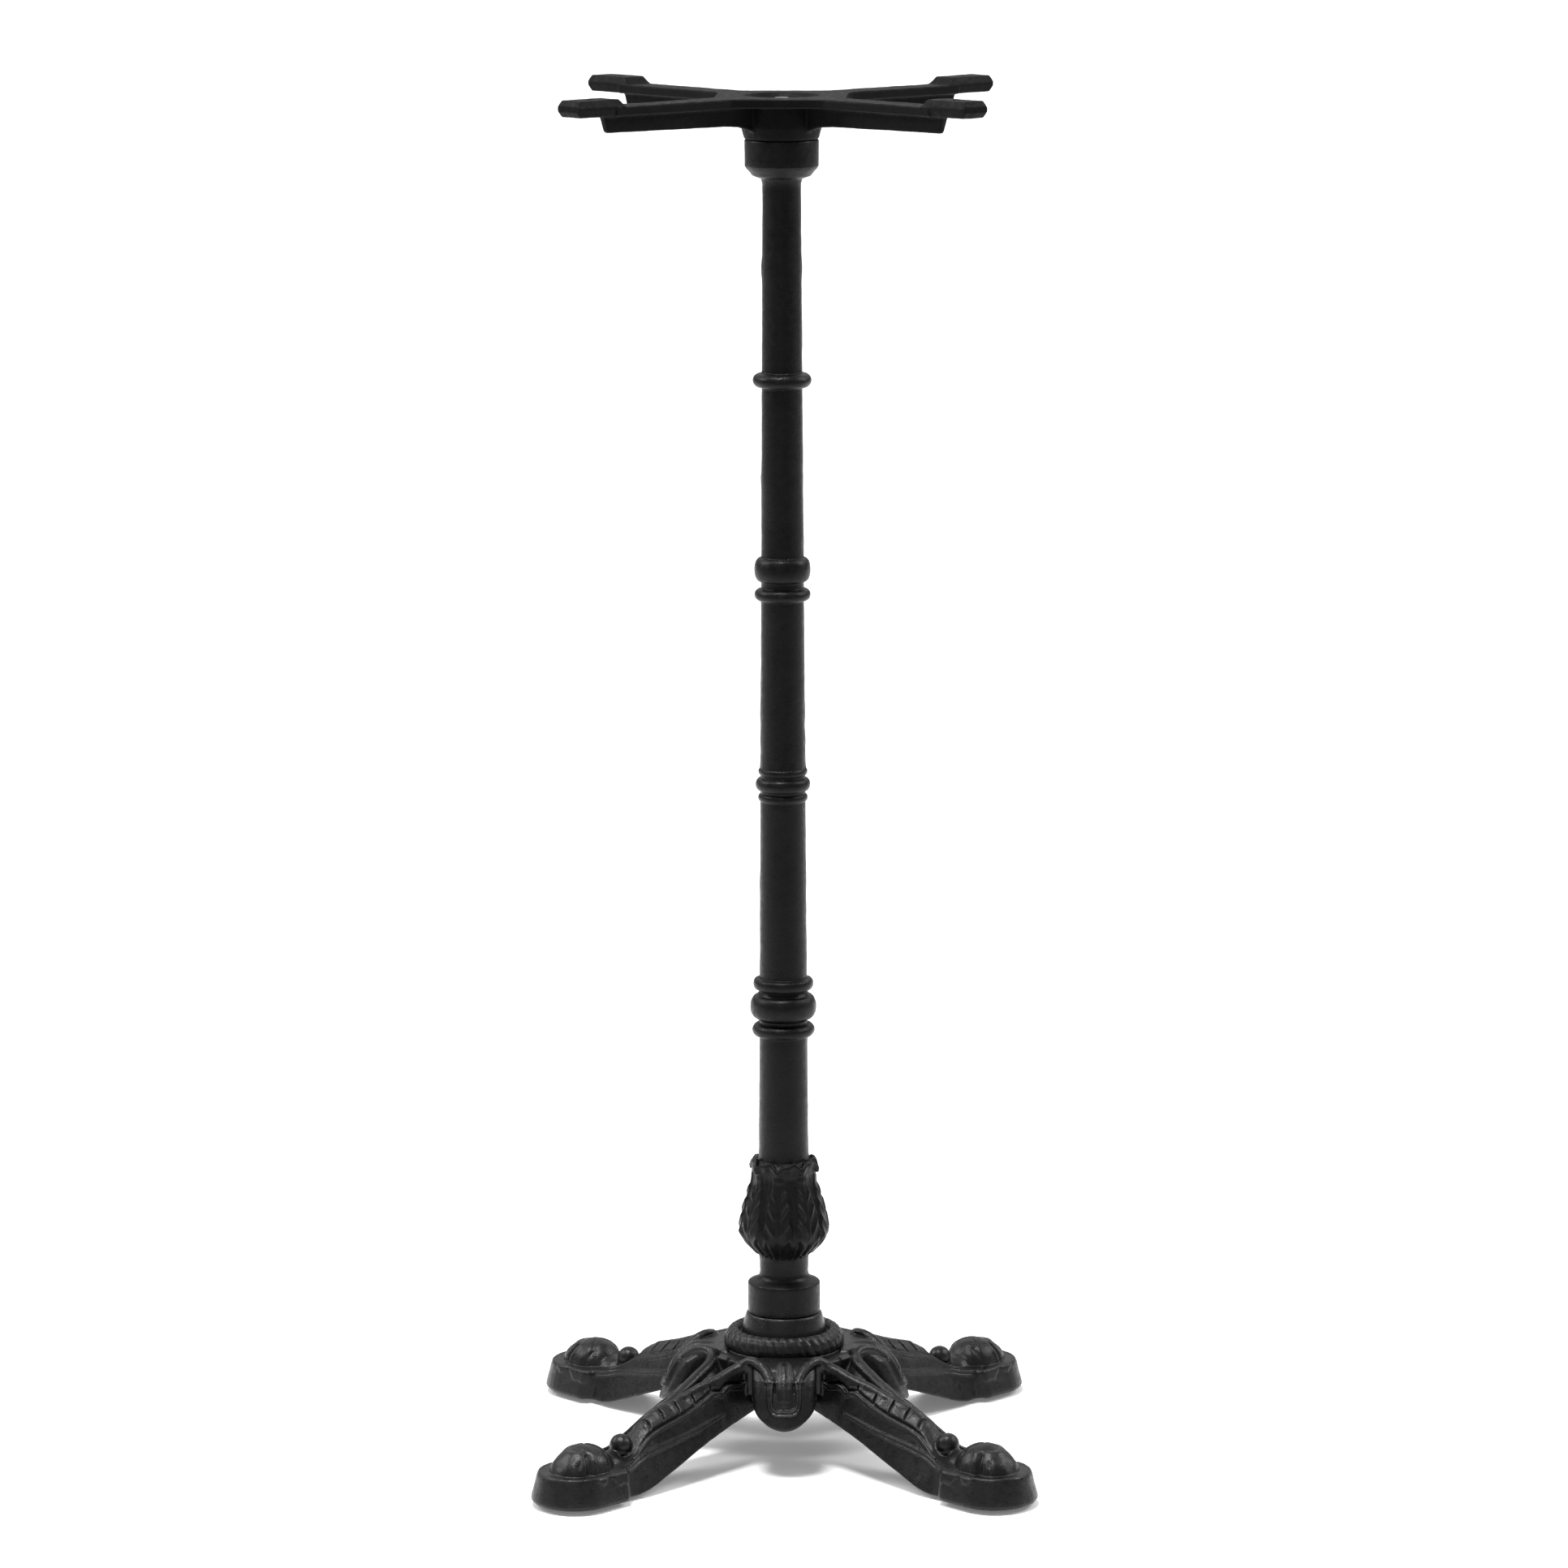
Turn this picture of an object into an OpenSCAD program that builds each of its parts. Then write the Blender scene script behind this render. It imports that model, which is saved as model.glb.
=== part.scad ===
// Ornamental cast-iron pedestal table base, bar height.
// A four-footed claw base, a slim turned column and a four-armed top spider,
// clamped together by one threaded rod down the middle, standing on adjustable glides.
// Millimetres, +Z up, origin on the floor under the column axis.
// Front is -Y; the four legs point along the diagonals.

/* [Main size] */
// Height from the floor to the pad faces that carry the table top
total_h = 1070; // [700:5:1120]
// Angle the top spider is turned about the column, counter-clockwise from above
spider_twist = -2.8; // [-45:0.1:45]
// Gap between the floor and the underside of the cast feet
foot_gap = 3.5; // [2.5:0.1:5]

/* [Base casting] */
// Distance from the column axis to the centre of each foot
foot_r = 226; // [223:1:240]
// Widest radius of a foot
foot_pad_r = 34.4; // [32:0.1:37]
// Distance from the column axis to the face of each skirt panel
panel_y = 76; // [74:0.5:80]
// Half width of a leg along its middle stretch
leg_half_w = 22.5; // [18:0.5:24]
// Wall thickness of the castings
wall = 6; // [5:0.5:7]
// Height of the seat where the column stands on the base
seat_z = 110; // [106:0.5:118]
// Largest radius of the gadrooned ring round the hub
ring_r = 47.2; // [45.4:0.2:50]
// Number of flutes on the gadrooned ring
ring_flutes = 24; // [16:1:32]
// Radius of the ball on the instep of each leg
ball_r = 9; // [7:0.5:10]

/* [Column] */
// Radius of the collars at the two ends of the column
collar_r = 28.4; // [27:0.1:30]
// Radius of the shaft just under the top collar
shaft_top_r = 14.6; // [14:0.1:16]
// Radius of the shaft just above the leaf bulb
shaft_low_r = 19.3; // [18:0.1:21]
// Radius of the hollow inside the column
core_r = 9.5; // [8:0.1:10]
// Largest radius of the leaf bulb
bulb_r = 34.2; // [32:0.1:36]
// Number of leaves round the bulb
leaf_count = 8; // [6:1:10]

/* [Top spider] */
// Distance from the column axis to the outer end of each pad
arm_r = 213; // [206:1:222]
// Width of an arm plate
arm_w = 25; // [20:0.5:30]
// Thickness of an arm plate
arm_t = 7; // [6:0.5:8]
// Height of a pad face above the arm plates
pad_rise = 6; // [4:0.5:7]
// Length of a pad face along its arm
pad_len = 38.6; // [36:0.2:44]
// Distance from the column axis to the screw hole in each pad
pad_hole_r = 191; // [186:1:197]
// Diameter of the screw hole in each pad
pad_hole_d = 7; // [5:0.5:8.5]
// Depth of the rib under each arm
rib_h = 13; // [10:0.5:15]

/* [Hardware] */
// Diameter of the tie rod
rod_d = 12; // [10:0.5:14]
// Diameter of the glide stems
stem_d = 8; // [6:0.5:8]
// Diameter of the glide pads
glide_d = 36; // [30:1:44]
// Radial clearance of a nut on its thread
thread_gap = 0.05; // [0.02:0.01:0.1]

/* [Hidden] */
$fn = 72;
eps = 0.01;
part_gap = 0.3;
plate_top = total_h - pad_rise;
plate_bot = plate_top - arm_t;
col_top = total_h - 39.7;
cup_floor = total_h - 29;
col_h = col_top - seat_z;
spigot_r = 22;
foot_top = foot_gap + 22.9;
angles = [225, 315, 135, 45];

// Catmull-Rom curve through a list of points, n steps per span
function cr(a, b, c, d, t) = 0.5 * ((2 * b) + (c - a) * t + (2 * a - 5 * b + 4 * c - d) * t * t + (3 * b - a - 3 * c + d) * t * t * t);
function curve(p, n = 4) = concat([for (i = [0 : len(p) - 2]) for (k = [0 : n - 1])
    cr(p[max(i - 1, 0)], p[i], p[i + 1], p[min(i + 2, len(p) - 1)], k / n)], [p[len(p) - 1]]);
function flip(p) = [for (i = [len(p) - 1 : -1 : 0]) [p[i][0], -p[i][1]]];
function back(p) = [for (i = [len(p) - 1 : -1 : 0]) p[i]];
// Half-round bead in a turned profile: centre height z, half height h, root radius r0, crown radius r1
function bead(z, h, r0, r1, n = 8) = [for (i = [0 : n]) let (a = -90 + 180 * i / n) [r0 + (r1 - r0) * cos(a), z + h * sin(a)]];

// ---------- column ----------
// Heights between the two collars stretch with the column
function cz(z) = z <= 140 ? seat_z + z - 110 : seat_z + 30 + (z - 140) * (col_h - 67.3) / 853;
function shaft_r(z) = let (t = (z - 240) / (993 - 240)) shaft_low_r + (shaft_top_r - shaft_low_r) * pow(t, 0.93) ;
bulb_pts = curve([[18.85, 147], [19.2, 152.5], [21, 156.2], [25.5, 160.6], [30.2, 165.5], [bulb_r - 1.3, 171], [bulb_r, 177.5],
    [bulb_r - 1.2, 185], [bulb_r - 3.6, 195.6], [bulb_r - 7.2, 206.1], [bulb_r - 10.3, 214], [bulb_r - 10.4, 219]], 3);
col_profile = concat(
    [[core_r, seat_z], [collar_r - 0.5, seat_z], [collar_r, seat_z + 0.6]],
    [for (p = [[collar_r, 131.2], [collar_r - 0.6, 133.2], [24.2, 135.6], [21.4, 137.8], [19.7, 140.4], [18.9, 144]]) [p[0], cz(p[1])]],
    [for (p = bulb_pts) [p[0], cz(p[1])]],
    [for (p = [[25.2, 222], [26.1, 224.6], [25.6, 226.6], [23.6, 227.3], [20.6, 225.8], [19.6, 227.5], [shaft_r(240), 236]]) [p[0], cz(p[1])]],
    [for (z = [256, 270, 290, 310, 329]) [shaft_r(z), cz(z)]],
    [for (p = concat(bead(336.8, 5.2, 18.6, 24.4), bead(355.2, 9.2, 20.2, 25.65, 10), bead(373.4, 4.2, 20.6, 23.25))) [p[0], cz(p[1])]],
    [for (z = [378.5, 388, 420, 457, 490, 514.5]) [shaft_r(z), cz(z)]],
    [for (p = concat(bead(521, 2.9, 17.2, 19.1, 6), bead(531.4, 5, 17.3, 21.05, 8), bead(541.2, 2.6, 17.2, 18.6, 6))) [p[0], cz(p[1])]],
    [for (z = [545.5, 554, 590, 630, 671.5]) [shaft_r(z), cz(z)]],
    [for (p = concat(bead(680, 4.7, 16.9, 21.6), bead(699.4, 9.2, 17.05, 21.5, 10))) [p[0], cz(p[1])]],
    [for (z = [710.5, 760, 800, 838.8]) [shaft_r(z), cz(z)]],
    [for (p = bead(846, 5.6, 16.1, 22.5)) [p[0], cz(p[1])]],
    [for (z = [853.5, 900, 950, 993]) [shaft_r(z), cz(z)]],
    [for (p = [[15.2, 998], [16, 1000.4], [18.6, 1001.2], [22.4, 1002.6], [23.6, 1004], [24.6, 1005.6], [26.9, 1007.8], [collar_r, 1010.3]]) [p[0], col_top + p[1] - 1030.3]],
    [[collar_r, col_top - 0.6], [collar_r - 0.5, col_top], [core_r, col_top]]);

// Skin of the leaf bulb, lifted by d
function skin(d) = [for (p = bulb_pts) [p[0] + d, cz(p[1])]];

module leaf_plate(w, z0, z1, d0, d1) {
    // pointed leaf outline, cut from a skin over the bulb
    intersection() {
        rotate_extrude() polygon(concat(skin(d1), [[bulb_r - 12, cz(219)]], [[bulb_r - 12, cz(164)], [12, cz(164)], [12, cz(147)]]));
        rotate([90, 0, 0]) linear_extrude(height = 60) polygon([
            [-w * 0.45, z0], [-w * 0.8, z0 + (z1 - z0) * 0.18], [-w, z0 + (z1 - z0) * 0.4], [-w * 0.86, z0 + (z1 - z0) * 0.62],
            [-w * 0.45, z0 + (z1 - z0) * 0.84], [0, z1], [w * 0.45, z0 + (z1 - z0) * 0.84], [w * 0.86, z0 + (z1 - z0) * 0.62],
            [w, z0 + (z1 - z0) * 0.4], [w * 0.8, z0 + (z1 - z0) * 0.18], [w * 0.45, z0]]);
    }
}

module column_casting() color([0.09, 0.09, 0.095]) {
    difference() {
        union() {
            rotate_extrude() polygon(col_profile);
            // raised acanthus leaves and their ribs
            for (i = [0 : leaf_count - 1]) rotate([0, 0, i * 360 / leaf_count]) {
                leaf_plate(10.4, cz(164), cz(217), 0, 1.3);
                leaf_plate(1.1, cz(166), cz(214), 0, 2.1);
            }
        }
        // seats that centre the column on the base and the spider on the column
        translate([0, 0, seat_z - 1]) cylinder(r = spigot_r + part_gap, h = 6);
        translate([0, 0, col_top - 5]) cylinder(r = spigot_r + part_gap, h = 6);
    }
}

// ---------- base casting ----------
side_pts = [[72, 35.2], [88, 30.2], [110, 26.4], [130, 23.8], [149, leg_half_w], [170, leg_half_w - 2], [184, leg_half_w - 2.2], [192, leg_half_w + 1]];
function side_plan(d) = let (s = [for (p = side_pts) [p[0] + (p[0] > 170 ? foot_r - 226 : 0), p[1] + d]], c = s, e = foot_r - 24)
    concat([[0, 0], [c[0][0] - d * 0.3, c[0][1]]], c, [[e, leg_half_w + 2 + d], [e, -leg_half_w - 2 - d]], flip(c), [[c[0][0] - d * 0.3, -c[0][1]]]);
top_pts = [[58, 78], [66, 75], [74, 75.5], [82, 73.6], [90, 73.4], [98, 67.5], [106, 64.5], [114, 61], [131, 55.6], [150, 48.5], [164, 41], [172, 35], [184, 31.5], [200, 28.5]];
bot_pts = [[200, foot_gap], [169, foot_gap], [160, 7], [149, 12.8], [130, 21.3], [110, 30.3], [88, 40.2], [72, 48.2], [60, 53]];
crest_top = [[58, 90], [66, 92], [75, 91.3], [86, 88], [100, 82], [115, 74.3], [130, 67], [140, 63], [150, 57.5], [160, 50.5], [168, 43.5], [171, 38]];
crest_t = [[56, 44], [64, 38.5], [72, 33.5], [86, 27], [100, 22.3], [115, 16.6], [130, 10], [142, 4.2]];
stem_top = [[58, 86], [61, 93], [66, 95], [73, 92.5], [80, 87.5], [90, 81], [103, 75.5], [115, 72], [132, 66]];

module side_cut(poly) { // profile in the plane of a leg, stretched across it
    translate([0, 60, 0]) rotate([90, 0, 0]) linear_extrude(height = 120) polygon(poly);
}

module leg_core() {
    intersection() {
        linear_extrude(height = 100) polygon(side_plan(0));
        side_cut(concat([[0, 82], [58, 82]], top_pts, [[foot_r - 22, 28], [foot_r - 22, foot_gap]], bot_pts, [[0, 53]]));
    }
}

module ridge(w, drop) { // one outer ridge, on the +y side, narrowing upwards
    c = crest_t;
    intersection() {
        linear_extrude(height = 110) polygon(concat([for (p = c) [p[0], p[1] + w]], back([for (p = c) [p[0], max(p[1] - w, -2)]])));
        side_cut(concat([[50, 60], [50, 90 - drop]], [for (p = crest_top) [p[0], p[1] - drop]], [[171, 30], [140, 50], [100, 60]]));
    }
}

module spine(w, drop) { // where the ridges have run together
    intersection() {
        linear_extrude(height = 110) polygon([[118, -w * 0.9], [130, -w * 1.1], [145, -w], [160, -w * 0.86], [171, -w * 0.7], [171, w * 0.7], [160, w * 0.86], [145, w], [130, w * 1.1], [118, w * 0.9]]);
        side_cut(concat([[118, 60], [118, 72 - drop]], [for (p = crest_top) if (p[0] > 118) [p[0], p[1] - drop]], [[171, 30], [140, 45]]));
    }
}

module leg_relief() {
    for (m = [0, 1]) mirror([0, m, 0]) {
        ridge(4.8, 3); ridge(2.8, 0.4);
    }
    spine(13.6, 5.5); spine(9.6, 1.6);
    // middle stem between the two hollows
    for (s = [[3.8, 2], [2.2, 0]]) intersection() {
        linear_extrude(height = 110) polygon([[57, -s[0]], [75, -s[0] - 0.6], [100, -s[0] - 0.4], [132, -s[0] * 0.6], [132, s[0] * 0.6], [100, s[0] + 0.4], [75, s[0] + 0.6], [57, s[0]]]);
        side_cut(concat([[57, 60]], [for (p = stem_top) [p[0], p[1] - s[1]]], [[132, 50]]));
    }
    // scalloped moulding along the top of each flat side
    intersection() {
        difference() { linear_extrude(height = 100) polygon(side_plan(1.3)); translate([0, 0, -1]) linear_extrude(height = 102) polygon(side_plan(-3)); }
        side_cut(concat([for (p = top_pts) if (p[0] > 62 && p[0] < 176) [p[0], p[1] + 1.2]], back([for (p = top_pts) if (p[0] > 62 && p[0] < 176) [p[0], p[1] - 1.8]])));
    }
    // long tapering ledge low on each flat side
    intersection() {
        difference() { linear_extrude(height = 100) polygon(side_plan(1.1)); translate([0, 0, -1]) linear_extrude(height = 102) polygon(side_plan(-3)); }
        side_cut([[99, 53], [120, 45.2], [151, 33], [176, 28], [198, 27.4], [198, 24.2], [176, 24.8], [151, 29.6], [120, 43]]);
    }
}

module notches() { // slanted cuts over the ridges and the spine
    for (x = [84, 97, 110, 123, 136, 148, 159])
        let (z = lookup(x, crest_top)) translate([x, 0, z]) rotate([0, -22, 0]) translate([-0.8, -45, -2.6]) cube([1.6, 90, 8]);
}

module foot() {
    fr = foot_pad_r; g = foot_gap;
    outline = [[fr - 2.9, g], [fr, g + 3], [fr - 4.6, g + 21.5], [fr - 6.1, foot_top]];
    translate([foot_r, 0, 0]) rotate_extrude() polygon(concat([[0, g]], outline, [[0, foot_top]]));
    // straight sides running back to the leg
    translate([foot_r - 29.5, 0, 0]) rotate([90, 0, 90]) linear_extrude(height = 29.5)
        polygon(concat([for (p = outline) [p[0], p[1]]], back([for (p = outline) [-p[0], p[1]]])));
    // arched instep with three grooves between the toes
    translate([foot_r - 1.5, 0, foot_top - 2.4]) difference() {
        rotate_extrude() polygon(concat([[0, 0]], [for (i = [0 : 10]) [22.4 * cos(i * 9), 21.6 * sin(i * 9)]]));
        for (a = [-52, 0, 52]) rotate([0, 0, a]) difference() {
            translate([4, -1, 4]) cube([30, 2, 30]);
            rotate_extrude() polygon(concat([[0, 0]], [for (i = [0 : 10]) [20.4 * cos(i * 9), 19.6 * sin(i * 9)]]));
        }
    }
    // fetlock between the paw and the ball
    translate([foot_r - 31, 0, foot_top - 2]) rotate_extrude() polygon(concat([[0, 0]], [for (i = [0 : 8]) [14.5 * cos(i * 11.25), 10.5 * sin(i * 11.25)]]));
    translate([foot_r - 48, 0, 36.8]) sphere(r = ball_r);
}

module skirt_panel() { // front panel of the hub, face at -panel_y
    y = panel_y;
    translate([0, -y + wall + 1, 0]) rotate([90, 0, 0]) linear_extrude(height = wall + 1) polygon(concat(
        [for (i = [0 : 16]) let (a = 200 + 140 * i / 16) [27.9 * cos(a), 59.3 + 27.9 * sin(a)]],
        [[26.6, 60], [26.6, 88], [25.2, 91.2], [22.4, 92.6], [19.4, 91], [16.9, 87.5], [15.4, 86.3], [9, 86.3], [9, 83], [-9, 83], [-9, 86.3],
         [-15.4, 86.3], [-16.9, 87.5], [-19.4, 91], [-22.4, 92.6], [-25.2, 91.2], [-26.6, 88], [-26.6, 60]]));
    // raised U border
    translate([0, -y + 0.5, 0]) rotate([90, 0, 0]) linear_extrude(height = 2.8) difference() {
        polygon([[-13.6, 73.5], [-13.6, 55], [-12.6, 50.2], [-9.6, 47.2], [-5, 46.3], [5, 46.3], [9.6, 47.2], [12.6, 50.2], [13.6, 55], [13.6, 73.5]]);
        polygon([[-7.6, 74], [-9.2, 62], [-9.2, 55], [-8.4, 51.6], [-5.4, 49.9], [5.4, 49.9], [8.4, 51.6], [9.2, 55], [9.2, 62], [7.6, 74]]);
    }
    // knuckles at the tops of the border, and the curls that run into them
    for (s = [-1, 1]) {
        translate([s * 12.1 - 3.3, -y - 3.6, 73.6]) cube([6.6, 4.1, 11.6]);
        translate([s * 12.1 - 3.3, -y + 0.4, 84.2]) rotate([0, 90, 0]) cylinder(r = 3.9, h = 6.6);
        translate([s * 12.1 - 3.9, -y - 4.2, 73.2]) cube([7.8, 4.7, 1.9]);
        translate([0, -y + 0.5, 0]) rotate([90, 0, 0]) linear_extrude(height = 3.4) polygon([
            [s * 26, 84], [s * 26, 87], [s * 24.6, 90], [s * 22.4, 91.4], [s * 20, 90], [s * 17.4, 86], [s * 16, 80], [s * 15, 74], [s * 12.4, 74], [s * 13, 80], [s * 14.8, 84.6], [s * 18.4, 84.4], [s * 22, 85.8], [s * 24, 84]]);
    }
    // half-round flute in the middle
    translate([0, -y + 1, 57]) cylinder(r = 6.5, h = 26.4);
    translate([0, -y + 1, 57]) sphere(r = 6.5);
}

hub_plan = [for (a = [0 : 90 : 270]) for (p = [[-26.3, -panel_y], [26.3, -panel_y], [44.5, -44.5]]) [p[0] * cos(a) - p[1] * sin(a), p[0] * sin(a) + p[1] * cos(a)]];
hub_cave = [for (a = [0 : 90 : 270]) for (p = [[-22, -panel_y + wall + 1], [22, -panel_y + wall + 1], [39, -39]]) [p[0] * cos(a) - p[1] * sin(a), p[0] * sin(a) + p[1] * cos(a)]];

// Heights of the neck above the ring stretch with the seat
function nz(z) = 95.8 + (z - 95.8) * (seat_z - 95.8) / 14.2;

module hub_round() {
    r = ring_r;
    rotate_extrude() polygon(concat([[0, 60], [22, 60], [24, 74], [43, 74], [43, 81.4], [45.2, 82], [r - 0.3, 84.2], [r, 87.4]],
        [[r - 1.3, 92.4], [r - 4, 96.4], [r - 7.6, 98.3], [r - 10.6, 97.8], [34, 95.2], [33.4, 92], [33.2, 95.8], [32, nz(100.9)], [30.2, nz(107.2)], [29.2, nz(109.2)], [28.6, nz(109.7)],
         [28, seat_z], [spigot_r, seat_z], [spigot_r, seat_z + 3.8], [spigot_r - 0.8, seat_z + 4.5], [0, seat_z + 4.5]]));
}

module base_casting() color([0.09, 0.09, 0.095]) {
    difference() {
        union() {
            difference() {
                union() {
                    difference() {
                        union() {
                            for (a = angles) rotate([0, 0, a]) { leg_core(); leg_relief(); }
                            // deck of the hub
                            translate([0, 0, 60]) linear_extrude(height = 22) polygon(hub_plan);
                        }
                        for (a = angles) rotate([0, 0, a]) notches();
                    }
                    for (a = [0 : 90 : 270]) rotate([0, 0, a]) skirt_panel();
                }
                // hollow under the hub
                translate([0, 0, -1]) linear_extrude(height = 75) polygon(hub_cave);
                // channel under each leg
                for (a = angles) rotate([0, 0, a]) intersection() {
                    translate([0, 0, -1]) linear_extrude(height = 100) polygon([[40, 30], [66, 28], [88, 30.2 - wall], [110, 26.4 - wall], [130, 23.8 - wall], [149, leg_half_w - wall], [162, leg_half_w - 2 - wall],
                        [162, -leg_half_w + 2 + wall], [149, -leg_half_w + wall], [130, -23.8 + wall], [110, -26.4 + wall], [88, -30.2 + wall], [66, -28], [40, -30]]);
                    side_cut([[40, -1], [40, 67], [66, 67], [88, 64], [110, 54], [131, 47], [150, 38], [162, 26], [162, -1]]);
                }
            }
            hub_round();
            for (a = angles) rotate([0, 0, a]) foot();
        }
        // rope flutes round the gadrooned ring
        for (i = [0 : ring_flutes - 1]) rotate([0, 0, i * 360 / ring_flutes])
            translate([ring_r - 3.5, 0, 94.8]) rotate([0, 135, 0]) rotate([26, 0, 0]) cylinder(r = 1.9, h = 17, center = true, $fn = 16);
        // hole for the tie rod
        translate([0, 0, 40]) cylinder(d = rod_d + 1.2, h = 90);
        // pocket and stem hole in each foot
        for (a = angles) rotate([0, 0, a]) translate([foot_r, 0, 0]) {
            translate([0, 0, -1]) cylinder(r = 26, h = 17);
            cylinder(d = stem_d + 2 * thread_gap, h = 39.5);
        }
    }
}

// ---------- top spider ----------
module arm() {
    w = arm_w / 2; t = total_h; r1 = arm_r - 2.6; r0 = r1 - pad_len;
    difference() {
        union() {
            translate([0, -w, plate_bot]) cube([r0 + 4, 2 * w, arm_t]);
            // raised pad with bevelled flanks and ends
            intersection() {
                translate([r0 - 10, 0, 0]) rotate([90, 0, 90]) linear_extrude(height = pad_len + 16)
                    polygon([[-10.1, t], [10.1, t], [12.3, t - 5.6], [12.3, t - 7.4], [10.8, t - 13.3], [-10.8, t - 13.3], [-12.3, t - 7.4], [-12.3, t - 5.6]]);
                side_cut([[r0 - 7, plate_top - 1], [r0, t], [r1, t], [r1 + 2.6, t - 4.2], [r1 + 2.6, t - 8.8], [r1 - 0.6, t - 13.3], [r0 - 4, t - 13.3], [r0 - 7, t - 12]]);
            }
            // rib under the arm
            side_rib(r0);
        }
        translate([pad_hole_r, 0, t - 30]) cylinder(d = pad_hole_d, h = 40);
    }
}

module side_rib(r0) { // upright web under the arm, with a slightly narrower lower edge
    for (s = [[2.9, 1], [2.3, 0]]) intersection() {
        translate([20, -s[0], plate_bot - 30]) cube([200, 2 * s[0], 31]);
        side_cut([[20, plate_bot + 0.5], [r0 + 9, plate_bot + 0.5], [r0 + 8.6, plate_bot], [r0 + 5, plate_bot - rib_h + 1.2 + s[1]], [r0 + 3.6, plate_bot - rib_h + s[1]], [60, plate_bot - rib_h - 1.4 + s[1]], [44, plate_bot - rib_h - 2.6 + s[1]], [24, plate_bot - rib_h - 8]]);
    }
}

module spider_casting() color([0.09, 0.09, 0.095]) {
    h = 50;
    rotate([0, 0, spider_twist]) difference() {
        union() {
            translate([0, 0, plate_bot]) linear_extrude(height = arm_t)
                polygon([[-32, -h], [32, -h], [h, -32], [h, 32], [32, h], [-32, h], [-h, 32], [-h, -32]]);
            for (a = angles) rotate([0, 0, a]) arm();
            rotate_extrude() polygon([[0, col_top + part_gap], [collar_r + 0.2, col_top + part_gap], [collar_r + 0.8, col_top + 1], [collar_r + 2.4, total_h - 30], [collar_r + 3.2, plate_bot], [collar_r + 4.2, plate_bot + 1], [0, plate_bot + 1]]);
            translate([0, 0, col_top - 4]) cylinder(r = spigot_r, h = 8);
        }
        // cup that hides the nut, with a chamfered mouth
        rotate_extrude() polygon([[0, cup_floor], [24.2, cup_floor], [24.6, plate_top - 5], [29.3, plate_top], [29.3, total_h + 1], [0, total_h + 1]]);
        translate([0, 0, col_top - 10]) cylinder(d = rod_d + 1.2, h = 40);
    }
}

// ---------- hardware ----------
module washer(r_out, r_in, h) difference() {
    rotate_extrude() polygon([[0, 0], [r_out - 0.4, 0], [r_out, 0.4], [r_out, h - 0.4], [r_out - 0.4, h], [0, h]]);
    translate([0, 0, -1]) cylinder(r = r_in, h = h + 2);
}

module split_washer(r_out, r_in, h) difference() {
    cylinder(r = r_out, h = h);
    translate([0, 0, -1]) cylinder(r = r_in, h = h + 2);
    // the slanted cut through the ring
    translate([0, 0, h / 2]) rotate([25, 0, 0]) translate([r_in / 2, -0.5, -h * 2]) cube([r_out, 1, h * 4]);
}

module hex_nut(af, d, h) difference() {
    intersection() {
        cylinder(r = af / 2 / cos(30), h = h, $fn = 6);
        rotate_extrude() polygon([[0, 0], [af / 2 * 0.98, 0], [af / 2 * 1.17, af * 0.055], [af / 2 * 1.17, h - af * 0.055], [af / 2 * 0.98, h], [0, h]]);
    }
    translate([0, 0, -1]) cylinder(r = d / 2 + thread_gap, h = h + 2);
}

rod_low = 40; rod_high = cup_floor + 21;
module tie_rod() color([0.62, 0.62, 0.64]) rotate_extrude() polygon([[0, rod_low], [rod_d / 2 - 1, rod_low], [rod_d / 2, rod_low + 1], [rod_d / 2, rod_high - 1], [rod_d / 2 - 1, rod_high], [0, rod_high]]);
module top_washer() color([0.7, 0.7, 0.72]) translate([0, 0, cup_floor + part_gap]) washer(18.5, rod_d / 2 + 0.5, 2.5);
module top_spring_washer() color([0.6, 0.6, 0.62]) translate([0, 0, cup_floor + part_gap + 2.5]) split_washer(rod_d / 2 + 4, rod_d / 2 + 0.3, 2.6);
module top_nut() color([0.7, 0.7, 0.72]) translate([0, 0, cup_floor + part_gap + 5.1]) hex_nut(rod_d * 1.5 + 1, rod_d, rod_d * 0.9);
module bottom_washer() color([0.7, 0.7, 0.72]) translate([0, 0, 57.5]) washer(18.5, rod_d / 2 + 0.5, 2.5);
module bottom_spring_washer() color([0.6, 0.6, 0.62]) translate([0, 0, 54.9]) split_washer(rod_d / 2 + 4, rod_d / 2 + 0.3, 2.6);
module bottom_nut() color([0.7, 0.7, 0.72]) translate([0, 0, 54.9 - rod_d * 0.9]) hex_nut(rod_d * 1.5 + 1, rod_d, rod_d * 0.9);

function foot_at(i) = [foot_r * cos(angles[i]), foot_r * sin(angles[i]), 0];

module glide_pad(i) color([0.06, 0.06, 0.06]) translate(foot_at(i)) difference() {
    rotate_extrude() polygon([[0, 0], [glide_d / 2 - 1.2, 0], [glide_d / 2, 1.2], [glide_d / 2, 4], [glide_d / 2 - 1.6, 5.6], [10, 7], [0, 7]]);
    // socket that snaps over the foot of the stem
    translate([0, 0, 2.7]) cylinder(r = 7 + thread_gap, h = 3.1);
    translate([0, 0, 2.7]) cylinder(r = stem_d / 2 + 0.35, h = 10);
}
module glide_stem(i) color([0.62, 0.62, 0.64]) translate(foot_at(i)) rotate_extrude()
    polygon([[0, 3], [6.4, 3], [7, 3.6], [7, 4.9], [6.4, 5.5], [stem_d / 2, 5.5], [stem_d / 2, 36.2], [stem_d / 2 - 0.8, 37], [0, 37]]);
module lock_nut(i) color([0.7, 0.7, 0.72]) translate(foot_at(i)) translate([0, 0, 16 - stem_d * 0.75]) hex_nut(stem_d * 1.5 + 1, stem_d, stem_d * 0.75);

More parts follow.
